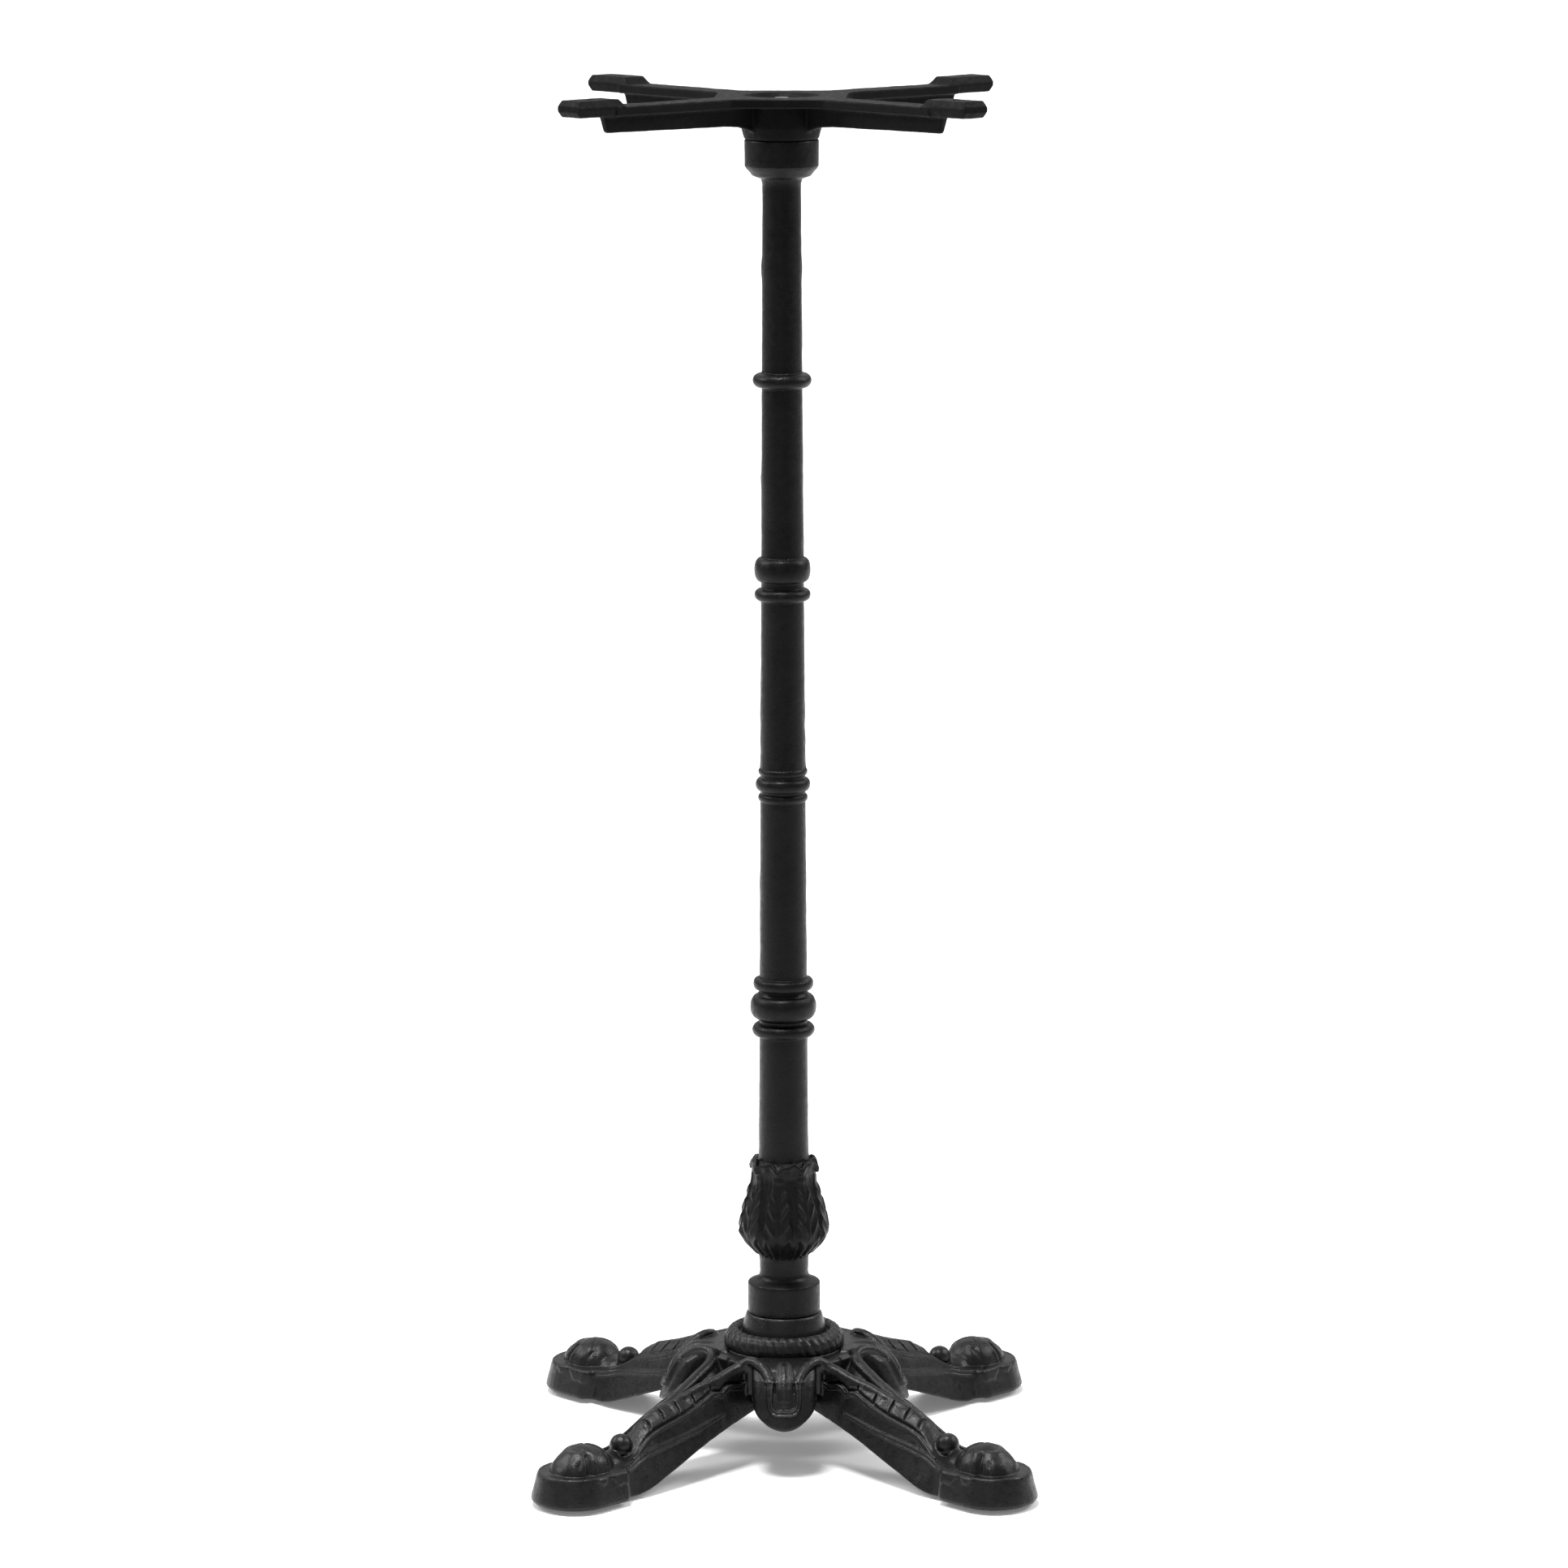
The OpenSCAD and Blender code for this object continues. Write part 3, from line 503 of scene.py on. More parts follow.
def painted_iron(name, wear_name=None, rough=0.31, bump=0.9, grain=1.2, dark=0.0042, spec=0.26):
    """Satin black paint over sand-cast iron: pebbled skin, small pits, rubbed edges, dust in corners."""
    mat = bpy.data.materials.new(name)
    mat.use_nodes = True
    nt = mat.node_tree
    b = nt.nodes["Principled BSDF"]
    b.inputs["Specular IOR Level"].default_value = spec
    b.inputs["IOR"].default_value = 1.5
    tc = node(nt, "ShaderNodeTexCoord", (-1400, 0))
    co = tc.outputs["Object"]
    fine = noise(nt, co, 1050, 2.0, 0.5, (-1200, -300))
    mid = noise(nt, co, 210, 2.0, 0.5, (-1200, -500))
    broad = noise(nt, co, 24, 3.0, 0.55, (-1200, 200))
    vor = node(nt, "ShaderNodeTexVoronoi", (-1200, -700))
    vor.inputs["Scale"].default_value = 300
    nt.links.new(co, vor.inputs["Vector"])
    pits = ramp(nt, vor.outputs["Distance"], [(0.0, (0, 0, 0)), (0.16, (1, 1, 1))], (-1000, -700))
    pit_area = ramp(nt, mid, [(0.52, (1, 1, 1)), (0.62, (0, 0, 0))], (-1000, -500))
    pit = math_node(nt, "MAXIMUM", pits.outputs["Color"], pit_area.outputs["Color"], (-800, -650))
    # height for the bump
    h1 = math_node(nt, "MULTIPLY", fine, 0.55 * grain, (-700, -300))
    h2 = math_node(nt, "MULTIPLY", mid, 0.35, (-700, -420))
    h3 = math_node(nt, "ADD", h1, h2, (-560, -340))
    h4 = math_node(nt, "MULTIPLY", pit, 0.012, (-560, -600))
    hh = math_node(nt, "ADD", h3, h4, (-420, -400))
    bp = node(nt, "ShaderNodeBump", (-240, -400))
    bp.inputs["Strength"].default_value = bump
    bp.inputs["Distance"].default_value = 0.00042
    nt.links.new(hh, bp.inputs["Height"])
    nt.links.new(bp.outputs["Normal"], b.inputs["Normal"])
    # colour
    d = dark
    base = ramp(nt, broad, [(0.3, (d * 0.75, d * 0.75, d * 0.78)), (0.5, (d, d, d * 1.02)), (0.72, (d * 1.5, d * 1.47, d * 1.42))], (-900, 250))
    colour = base.outputs["Color"]
    r0 = ramp(nt, mid, [(0.3, (rough - 0.07,) * 3), (0.7, (rough + 0.10,) * 3)], (-700, 0))
    r_out = r0.outputs["Color"]
    if wear_name:
        at = node(nt, "ShaderNodeAttribute", (-1200, 500), attribute_name=wear_name)
        edge = ramp(nt, at.outputs["Fac"], [(0.62, (0, 0, 0)), (0.92, (1, 1, 1))], (-1000, 600))
        dust = ramp(nt, at.outputs["Fac"], [(0.10, (1, 1, 1)), (0.38, (0, 0, 0))], (-1000, 450))
        rub = math_node(nt, "MULTIPLY", edge.outputs["Color"], math_node(nt, "ADD", broad, 0.35, (-900, 750)), (-760, 650), True)
        mx = node(nt, "ShaderNodeMixRGB", (-500, 400))
        mx.inputs["Color2"].default_value = (0.060, 0.058, 0.055, 1)
        nt.links.new(math_node(nt, "MULTIPLY", rub, 0.55, (-640, 620)), mx.inputs["Fac"])
        nt.links.new(colour, mx.inputs["Color1"])
        my = node(nt, "ShaderNodeMixRGB", (-320, 400))
        my.inputs["Color2"].default_value = (0.010, 0.0095, 0.009, 1)
        nt.links.new(math_node(nt, "MULTIPLY", dust.outputs["Color"], 0.35, (-640, 480)), my.inputs["Fac"])
        nt.links.new(mx.outputs["Color"], my.inputs["Color1"])
        colour = my.outputs["Color"]
        r1 = math_node(nt, "MULTIPLY", rub, -0.10, (-500, 100))
        r2 = math_node(nt, "MULTIPLY", dust.outputs["Color"], 0.18, (-500, 0))
        r_out = math_node(nt, "ADD", math_node(nt, "ADD", r_out, r1, (-360, 60)), r2, (-220, 20), True)
    nt.links.new(colour, b.inputs["Base Color"])
    nt.links.new(r_out, b.inputs["Roughness"])
    return mat


def plated(name, tint, rough=0.3, scale=400):
    mat = bpy.data.materials.new(name)
    mat.use_nodes = True
    nt = mat.node_tree
    b = nt.nodes["Principled BSDF"]
    b.inputs["Metallic"].default_value = 1.0
    tc = node(nt, "ShaderNodeTexCoord", (-1200, 0))
    co = tc.outputs["Object"]
    fine = noise(nt, co, scale, 3.0, 0.6, (-1000, 0))
    broad = noise(nt, co, 60, 2.0, 0.5, (-1000, 250))
    t = np.array(tint)
    base = ramp(nt, broad, [(0.3, tuple(t * 0.82)), (0.7, tuple(np.minimum(t * 1.12, 1)))], (-700, 250))
    r = ramp(nt, fine, [(0.3, (rough - 0.06,) * 3), (0.7, (rough + 0.14,) * 3)], (-700, 0))
    bp = node(nt, "ShaderNodeBump", (-300, -250))
    bp.inputs["Strength"].default_value = 0.25
    bp.inputs["Distance"].default_value = 0.0002
    nt.links.new(fine, bp.inputs["Height"])
    nt.links.new(base.outputs["Color"], b.inputs["Base Color"])
    nt.links.new(r.outputs["Color"], b.inputs["Roughness"])
    nt.links.new(bp.outputs["Normal"], b.inputs["Normal"])
    return mat


def moulded(name):
    mat = bpy.data.materials.new(name)
    mat.use_nodes = True
    nt = mat.node_tree
    b = nt.nodes["Principled BSDF"]
    b.inputs["Specular IOR Level"].default_value = 0.45
    tc = node(nt, "ShaderNodeTexCoord", (-1200, 0))
    co = tc.outputs["Object"]
    fine = noise(nt, co, 900, 2.0, 0.5, (-1000, 0))
    broad = noise(nt, co, 70, 3.0, 0.6, (-1000, 250))
    base = ramp(nt, broad, [(0.3, (0.012, 0.012, 0.012)), (0.75, (0.030, 0.029, 0.028))], (-700, 250))
    r = ramp(nt, broad, [(0.3, (0.48,) * 3), (0.7, (0.66,) * 3)], (-700, 0))
    bp = node(nt, "ShaderNodeBump", (-300, -250))
    bp.inputs["Strength"].default_value = 0.35
    bp.inputs["Distance"].default_value = 0.0002
    nt.links.new(fine, bp.inputs["Height"])
    nt.links.new(base.outputs["Color"], b.inputs["Base Color"])
    nt.links.new(r.outputs["Color"], b.inputs["Roughness"])
    nt.links.new(bp.outputs["Normal"], b.inputs["Normal"])
    return mat


def dress(o, mat):
    o.data.materials.clear()
    o.data.materials.append(mat)


# ------------------------------------------------------------------ base casting
edge_w = curve([(40, 20.5), (50, 20), (56, 19.5), (68, 19), (82, 18.8), (87, 18.5), (94, 18), (103, 17.3), (112, 17.6), (120, 17.6), (129, 16.5), (144, 14.4), (152, 13.2), (160, 13), (170, 14.4), (180, 17.4), (192, 21), (202, 24), (220, 24.5)], 2.5)
foot_w = curve([(40, 22), (60, 23), (105, 25), (120, 26.2), (136, 27.3), (152, 27.6), (168, 28.0), (180, 27.4), (192, 26.4), (202, 25), (220, 24.5)], 3.0)
mould_z = curve([(40, 71), (50, 70), (56, 69.2), (62, 67.6), (67, 65.8), (72, 66.6), (78, 68.0), (82, 67.0), (86.5, 62.8), (91, 64.6), (95, 65.0), (99, 63.2), (103, 60.9), (108, 59.6), (112, 57.4), (118, 55.4), (129, 51.6), (144, 47.3), (152, 44.5), (160, 41.0),
                 (168, 36), (176, 31.6), (184, 29.5), (200, 27.8), (230, 27)], 0.9)
under_z = curve([(30, 49), (60, 42.6), (80, 37.5), (105, 30.1), (120, 25), (136, 19.3), (152, 13.4), (160, 10.3), (168, 7.3), (176, 4.8), (184, 3.5), (230, 3.5)], 2.5)
crest_z = curve([(50, 87.5), (56, 87), (60, 85.5), (64, 83.4), (68, 81.6), (72, 80.2), (76, 78.6), (80, 77.2), (84, 75.8), (88, 74.6), (92, 73.5), (96, 72.4), (100, 71.2), (104, 69.8), (108, 68.2), (112, 66.7), (116, 65.2), (120, 63.8), (128, 61.4),
                 (136, 59), (144, 56.2), (150, 53.4), (157, 48.6), (163, 43.8), (170, 37.6), (178, 31.5), (190, 28)], 1.6)
crest_y = curve([(50, 28), (56, 23.5), (60, 19), (64, 15.8), (68, 14), (72, 12.8), (76, 11.9), (80, 11.2), (84, 10.6), (88, 9.7), (92, 8.5), (96, 7.3), (100, 6.2), (108, 4.8), (116, 3.6), (124, 2.5), (134, 0.8), (140, 0)], 1.2)
valley = curve([(58, 13), (70, 12.5), (80, 11), (90, 8.6), (100, 6.2), (112, 3.8), (124, 1.4), (132, 0)], 1.5)
strap_z = curve([(86, 48.5), (120, 41.3), (150, 35.4), (170, 31.2), (180, 28.4), (186, 26.9), (203, 25.4)], 1.0)
strap_w = curve([(86, 0.5), (100, 1.2), (120, 2.2), (150, 3.0), (180, 3.2), (203, 3.2)], 1.0)
NOTCHES = [(95, 15.0), (111, 12.0), (126, 9.0), (140, 6.5), (153, 4.4)]


def base_field(h):
    x = np.arange(-2 * h, 263.5, h).astype(f32)
    y = np.arange(-2 * h, 74.0, h).astype(f32)
    z = np.arange(2.2, 98.6, h).astype(f32)
    X, Y = x[:, None], np.abs(y)[None, :]
    X3, Y3, Z3 = x[:, None, None], np.abs(y)[None, :, None], z[None, None, :]
    xe = x.astype(float)
    Em, Eb = edge_w(xe).astype(f32), foot_w(xe).astype(f32)
    zt, zb = mould_z(xe).astype(f32), under_z(xe).astype(f32)
    ct, cz = np.maximum(crest_y(xe), 0).astype(f32), crest_z(xe).astype(f32)
    cz = np.maximum(cz, zt + 0.2)
    vd = valley(xe).astype(f32)
    cT, cB, cC = (slope_cos(q, xe) for q in (mould_z, under_z, crest_z))

    # ---- flanks lean in towards the top; the edge of the flank carries the moulding
    kz = ((Eb - Em) / np.maximum(zt - zb, 6))
    Es = Em[:, None] + kz[:, None] * (zt[:, None] - z[None, :])
    Es = np.maximum(Es, (Em - 1.0)[:, None])
    side = (Y3 - Es[:, None, :]) * 0.965
    # ---- top: two broad rounded ribs that run together into one spine
    w = np.maximum(Em - ct, 3.0)
    s = np.clip((Y - ct[:, None]) / w[:, None], 0, 1.3)
    n = np.array([80] + [q[0] + 4 for q in NOTCHES], float)
    scale = np.zeros(len(x))
    for i, j in zip(n[:-1], n[1:]):
        m = (x >= i) & (x < j)
        scale[m] = ((x[m] - i) / (j - i)) ** 1.2
    scale[x < n[0]] = np.clip((x[x < n[0]] - 66) / 17, 0, 1) * 0.8
    kk = np.exp(-0.5 * (np.arange(-6, 7) * h / 0.6) ** 2)
    scale = (np.convolve(np.pad(scale, 6, mode="edge"), kk / kk.sum(), mode="valid") * np.clip((166 - x) / 8, 0, 1)).astype(f32)
    czc = cz - (2.0 * np.clip((138 - x) / 20, 0, 1)).astype(f32)
    crown = czc[:, None] - (czc - zt + 1.6)[:, None] * s ** 1.6 + 0.8 * scale[:, None] * np.clip(1 - ((s - 0.32) / 0.55) ** 2, 0, 1)
    inner = 0.5 * (1 + np.cos(np.pi * np.clip(Y / np.maximum(ct, 0.3)[:, None], 0, 1)))
    crown = crown - vd[:, None] * inner * (ct[:, None] > 0.3)
    gy = np.gradient(crown, h, axis=1)
    gx = np.gradient(crown, h, axis=0)
    norm = 1 / np.sqrt(1 + np.minimum(gy * gy + gx * gx, 6.0))
    top = (Z3 - crown[:, :, None]) * norm[:, :, None]
    d = smax(side, top, 1.5)
    d = smax(d, (zb[:, None, None] - Z3) * cB[:, None, None], 1.6)
    d = smax(d, (X3 - 206), 1.0)
    rx, rz = (x > 46) & (x < 148), z > 44
    part = np.ix_(rx, np.ones(len(y), bool), rz)
    pts, rad = [], []
    for q in (57, 60, 63, 67, 72, 78, 85, 92, 100, 108, 116, 124, 133, 142):
        r = float(np.interp(q, [57, 100, 142], [4.9, 4.5, 2.8]))
        pts.append((float(q), max(float(crest_y(q)), 0.0), float(crest_z(q)) - r))
        rad.append(r)
    bar = tube(x[rx][:, None, None], np.abs(y)[None, :, None], z[rz][None, None, :], pts, rad).astype(f32)
    d[part] = smin(d[part], bar, 1.3)
    # dark step between the rib and the moulding
    dz = Z3 - (zt + 1.0)[:, None, None]
    dy = Y3 - (Em - 1.9)[:, None, None]
    step = np.sqrt(dz * dz + dy * dy) - 2.0
    step = smax(step, np.maximum(60 - X3, X3 - 172), 1.5)
    d = smax(d, -step, 1.0)
    # ---- double moulding
    dy = Y3 - (Em - 0.2)[:, None, None]
    q = np.sqrt(dy * dy + ((Z3 - (zt - 0.5)[:, None, None]) * cT[:, None, None]) ** 2) - 1.4
    q = smax(q, np.maximum(54 - X3, X3 - 182), 1.0)
    d = smin(d, q, 0.7)
    dy = Y3 - (Em + 0.5)[:, None, None]
    q = np.sqrt(dy * dy + ((Z3 - (zt - 3.2)[:, None, None]) * cT[:, None, None]) ** 2) - 0.7
    q = smax(q, np.maximum(56 - X3, X3 - 150), 1.0)
    d = smin(d, q, 0.6)

    # ---- long tapering strap low on each flank: two fine beads and the flat between them
    zu = strap_z(xe).astype(f32)[:, None, None]
    zl = zu - strap_w(xe).astype(f32)[:, None, None]
    body = smax(smax(np.maximum(Z3 - zu, zl - Z3) * 0.95, side - 0.8, 0.6), -(side + 3), 0.5)
    body = smax(body, np.maximum(88 - X3, X3 - 204), 0.6)
    d = smin(d, body, 0.6)
    for zz in (zu, zl):
        q = np.sqrt((side - 0.5) ** 2 + ((Z3 - zz) * 0.96) ** 2) - 0.95
        q = smax(q, np.maximum(87 - X3, X3 - 204), 0.8)
        d = smin(d, q, 0.5)

    # ---- slanted notches across the ribs
    for xn, yn in NOTCHES:
        m = (x > xn - 9) & (x < xn + 9)
        zn = float(np.interp(yn, np.abs(y)[3:], crown[int(np.searchsorted(x, xn))][3:])) - 0.4
        lean = (x[m][:, None, None] - xn) + 0.30 * (Z3 - zn)
        tall = np.clip(1 - ((Z3 - zn) / 5.2) ** 2, 0, 1)
        gap = np.abs(lean) - (0.95 * tall - 0.1)
        cut = smax(gap, -(d[m] + 1.9), 0.6)
        cut = smax(cut, np.abs(Y3 - yn) - 6.0, 0.6)
        cut = smax(cut, (zt[m] + 0.4)[:, None, None] - Z3, 0.6)
        d[m] = smax(d[m], -cut, 0.5)

    # ---- hub: deck under the ring, and a round belly between each pair of legs
    nn = (X + Y) / math.sqrt(2)
    tt = np.abs((X - Y) / math.sqrt(2))
    N3, T3 = nn[:, :, None], tt[:, :, None]
    plan = smax(nn - 60.5, X - 62.5, 1.0)
    deck = smax(plan[:, :, None], np.maximum(Z3 - 82, 58 - Z3), 1.2)
    d = smin(d, deck, 2.0)
    nc = np.interp(z, [30, 38, 42, 48.5, 54, 62, 69.6, 74.3, 77.6, 82, 84.5], [100.5, 99.3, 98.3, 96.3, 93.5, 90.2, 86.2, 83.0, 78.4, 71.5, 65]).astype(f32)
    belly0 = (N3 - nc[None, None, :] + T3 * T3 / 84) * 0.9
    belly = smax(belly0, T3 - 24.4, 6.0)
    belly = smax(belly, (38.6 + 0.0235 * T3 * T3 - Z3) * 0.85, 2.6)
    belly = smax(belly, 44 - N3, 1.0)
    belly = smax(belly, Z3 - 84, 2.0)
    d = smin(d, belly, 1.6)
    uo = [(-13.6, 76), (-13.5, 60), (-12.7, 55.4), (-10, 51.6), (-6, 50.4), (6, 50.4), (10, 51.6), (12.7, 55.4), (13.5, 60), (13.6, 76)]
    ui = [(-7.6, 79), (-9.2, 66), (-9.3, 60), (-8.5, 56.6), (-5.8, 54.8), (5.8, 54.8), (8.5, 56.6), (9.3, 60), (9.2, 66), (7.6, 79)]
    U = np.maximum(table_sd(tt, z, uo, 0, 60), -table_sd(tt, z, ui, 0, 60))
    band = smax(smax(U, belly0 - 1.9, 1.0), 60 - N3, 0.5)
    band = smax(band, -(belly0 + 4), 0.5)
    d = smin(d, band, 0.6)
    q = smax(smax(np.abs(U + 0.9) - 0.5, belly0 - 2.6, 0.7), np.maximum(60 - N3, -(belly0 + 4)), 0.5)
    d = smin(d, q, 0.4)
    # half-round tongue on the belly
    ix, iy = (x > 35) & (x < 92), (y > 12)
    iz = z > 52
    sub = np.ix_(ix, iy, iz)
    xx, yy, zz = x[ix][:, None, None], np.abs(y)[iy][None, :, None], z[iz][None, None, :]

    def along(path, rad):
        pts = [((i + j) / math.sqrt(2), (i - j) / math.sqrt(2), k) for i, j, k in path]
        return tube(xx, yy, zz, pts, rad).astype(f32)
    tg = along([(58, 0, 79.4), (64, 0, 79.8), (69.5, 0, 78.8), (75.5, 0, 74.8), (79.8, 0, 71.0), (82.9, 0, 66.8), (86.2, 0, 60.8), (88.0, 0, 57.8)], [6.0, 6.3, 6.4, 6.4, 6.3, 6.3, 6.0, 4.8])
    g2 = tt[np.ix_(ix, iy)][:, :, None]
    tg_groove = smax(np.abs(np.abs(g2) - 7.4) - 0.55, -(belly0[sub] + 1.6), 0.5)
    tg_groove = smax(tg_groove, np.maximum(66 - zz, zz - 80), 1.0)
    e = smax(d[sub], -tg_groove, 0.6)
    e = smin(e, tg, 0.9)
    # ribs curl over and come down on either side of the tongue
    path = [(56.0, 34.6, 79.2), (55.8, 31.5, 81.2), (57.0, 27.8, 83.2), (59.4, 24.6, 84.1), (62.8, 21.4, 84.1), (66.8, 18.5, 82.9), (71.0, 15.7, 80.6), (74.8, 13.6, 77.9), (78.2, 12.0, 75.2), (80.6, 11.2, 73.0)]
    cu = along(path, [3.9, 4.1, 4.3, 4.3, 4.3, 4.2, 4.0, 3.8, 3.6, 3.3])
    e = smin(e, cu, 1.2)
    rim = along([(i - 3.4, j - 1.2, k + 2.3) for i, j, k in path[1:8]], [1.0] * 7)
    e = smin(e, rim, 0.8)
    kb = along([(81.2, 14.2, 73.6), (82.2, 11.6, 73.6), (83.0, 8.6, 73.8)], [1.35, 1.45, 1.3])
    e = smin(e, kb, 0.5)
    d[sub] = e
    # upright edge where the deck shows between the ribs
    post = np.sqrt((X3 - 61.6) ** 2 + Y3 ** 2) - 1.0
    post = smax(post, np.maximum(Z3 - 84.5, 68 - Z3), 0.8)
    d = smin(d, post, 1.2)

    # ---- hollows underneath
    cave = smax(smax(nn - 54, X - 55, 3.0)[:, :, None], Z3 - 74, 2.5)
    inb = np.sqrt(((N3 - 64) / 27.0) ** 2 + (T3 / 21.0) ** 2 + ((Z3 - 44) / 25.5) ** 2)
    inb = (inb - 1) * 22.0
    cave = smin(cave, inb, 2.0)
    zc_ = np.interp(xe, [40, 66, 88, 110, 131, 150, 162], [67, 62, 56.5, 50.5, 43.5, 35.5, 26]).astype(f32)
    chan = smax(side + 5.0, Z3 - zc_[:, None, None], 3.0)
    chan = smax(chan, np.maximum(40 - X3, X3 - 162), 2.0)
    d = smax(d, -smin(cave, chan, 2.0), 1.4)

    # ---- boss for the tie rod
    r2 = np.sqrt(X ** 2 + Y ** 2)
    boss = table_sd(r2, z, [(-40, 60), (22, 60), (24, 73), (43, 74), (43, 80), (-40, 80)], 0, 80)
    d = smin(d, boss, 1.5)
    d = smax(d, -(r2[:, :, None] - 6.6), 0.6)

    # ---- foot
    i0 = int(np.searchsorted(x, 176))
    xs = x[i0:]
    A, B = (xs - FOOT_R)[:, None], np.abs(y)[None, :]
    A3, B3 = A[:, :, None], B[:, :, None]
    u = np.sqrt(np.maximum(A, 0) ** 2 + B ** 2)
    prof = [(-40, 3.5), (31.4, 3.5), (33.5, 4.6), (34.3, 6.6), (33.6, 10), (31.6, 17.5), (29.8, 24.8), (28.9, 26.2), (27.2, 26.6), (-40, 25.4)]
    foot = table_sd(u, z, prof, 0, 60)
    foot = smax(foot, (193.6 - xs)[:, None, None] + 0.55 * np.maximum(B3 - 24, 0), 5.0)
    # leaf drape over the rim at the sides
    ze = np.interp(xs - FOOT_R, [-33, -31, -29, -26, -21, -16.5, -12, -8.5, -6, -3.5, 0, 3, 6, 9], [25, 21.5, 18.4, 16.8, 18.4, 17.2, 22.2, 26.4, 24.6, 21.4, 20.6, 23.0, 25.4, 28]).astype(f32)
    drape = smax(foot - 0.5, (ze[:, None, None] - Z3) * 0.75, 1.2)
    drape = smax(drape, np.maximum(193.6 - xs, xs - 236)[:, None, None], 0.8)
    drape = smax(drape, Z3 - 26.9, 0.6)
    foot = smin(foot, drape, 0.5)
    # rim band round the front of the top edge
    band = np.sqrt((u - 27.6)[:, :, None] ** 2 + (Z3 - 26.0) ** 2) - 1.15
    band = smax(band, -A3 - 2, 2.0)
    foot = smin(foot, band, 0.9)
    # paw
    a, zz = A3 + 9.5, (Z3 - 24.0)
    q = np.sqrt((a / np.where(a > 0, 30.6, 22.6)) ** 2 + (B3 / 22.0) ** 2 + (np.maximum(zz, 0) / 21.4) ** 2) + np.maximum(-zz, 0) * 0
    el = np.degrees(np.arcsin(np.clip(zz / 21.4 / np.maximum(q, 1e-3), -1, 1)))
    th = np.degrees(np.arctan2(B3, a + 0 * zz))
    paw = (q - 1) * 21.5
    sweep = 3.0 - 0.014 * zz * zz
    gx = A3 - sweep
    front = 1 / (1 + np.exp(np.clip(-gx / 0.5, -60, 60)))
    disp = front * (-0.9
                    + 1.9 * np.exp(-((th - 37) / 13) ** 2 - ((el - 26) / 24) ** 2)
                    - 1.7 * np.exp(-((th - 37) / 6.5) ** 2 - ((el - 30) / 11) ** 2)
                    - 1.5 * np.exp(-(th / 11) ** 2 - ((el - 26) / 16) ** 2)
                    + 1.3 * np.exp(-((el - 57) / 7) ** 2)
                    - 0.9 * np.exp(-((el - 66) / 4) ** 2))
    disp = 0.62 * disp + (1 - front) * (0.4 - 0.8 * np.exp(-((th - 128) / 9) ** 2) + 0.35 * np.cos(np.radians((th - 95) * 3)) * np.exp(-((el - 30) / 25) ** 2))
    groove = -1.9 * np.exp(-(gx / 1.5) ** 2) * np.clip((62 - el) / 12, 0, 1)
    g2 = A3 + 17 + 0.012 * zz * zz
    groove = groove - 0.8 * np.exp(-(g2 / 1.6) ** 2) * np.clip((56 - el) / 14, 0, 1)
    groove = groove + 0.9 * np.exp(-((gx + 4.2) / 2.0) ** 2) * np.clip((66 - el) / 14, 0, 1)
    paw = paw - disp - groove
    paw = smax(paw, 20 - Z3, 1.0)
    foot = smin(foot, paw, 1.1)
    # fetlock, ball and its little collar
    fet = np.sqrt(((A3 + 31) / 14.3) ** 2 + (B3 / 14.3) ** 2 + ((Z3 - 24.4) / 10.6) ** 2)
    foot = smin(foot, smax((fet - 1) * 11.5, 20 - Z3, 1.0), 2.0)
    col = np.sqrt((np.sqrt((A3 + 47.4) ** 2 + B3 ** 2) - 7.2) ** 2 + (Z3 - 31.2 - 0.25 * (A3 + 47.4)) ** 2) - 1.5
    neck = np.sqrt((A3 + 40) ** 2 + B3 ** 2 + (Z3 - 28.5) ** 2) - 6.6
    foot = smin(foot, neck, 2.5)
    foot = smin(foot, col, 0.9)
    ball = np.sqrt((A3 + 48) ** 2 + B3 ** 2 + (Z3 - 36.9) ** 2) - 8.9
    d[i0:] = smin(d[i0:], foot.astype(f32), 1.4)
    d[i0 - int(12 / h):] = smin(d[i0 - int(12 / h):], (np.sqrt((x[i0 - int(12 / h):][:, None, None] - 178) ** 2 + Y3 ** 2 + (Z3 - 36.9) ** 2) - 8.9).astype(f32), 1.2)
    # pocket and stem hole
    ru = np.sqrt(A ** 2 + B ** 2)
    pocket = smax((ru - 26)[:, :, None], Z3 - 16, 1.2)
    hole = smax((ru - 4.05)[:, :, None], Z3 - 39.5, 0.3)
    d[i0:] = smax(d[i0:], -np.minimum(pocket, hole), 0.6)
    return x, y, z, d.astype(f32)


def build_base(mat):
    h = 0.62
    x, y, z, F = base_field(h)
    V, Q = surface_nets(F, x, y, z)
    V = relax(V, Q, F, x, y, z, 2)
    del F
    VV, faces = octant_to_whole("base_tmp", V, Q)
    o = new_object("cast_base", new_mesh("base_body", VV, faces))
    thin(o, 0.27)
    as_cast(o, [(34, 0.10), (12, 0.06), (5, 0.035)], 5)
    RV, RF, LV, LF = build_ring()
    ring = new_object("ring_tmp", new_mesh("ring_mesh", np.concatenate([RV, LV]), np.concatenate([RF, LF + len(RV)])))
    bm = bmesh.new()
    bm.from_mesh(o.data)
    bm.from_mesh(ring.data)
    bm.to_mesh(o.data)
    bm.free()
    bpy.data.objects.remove(ring)
    return o



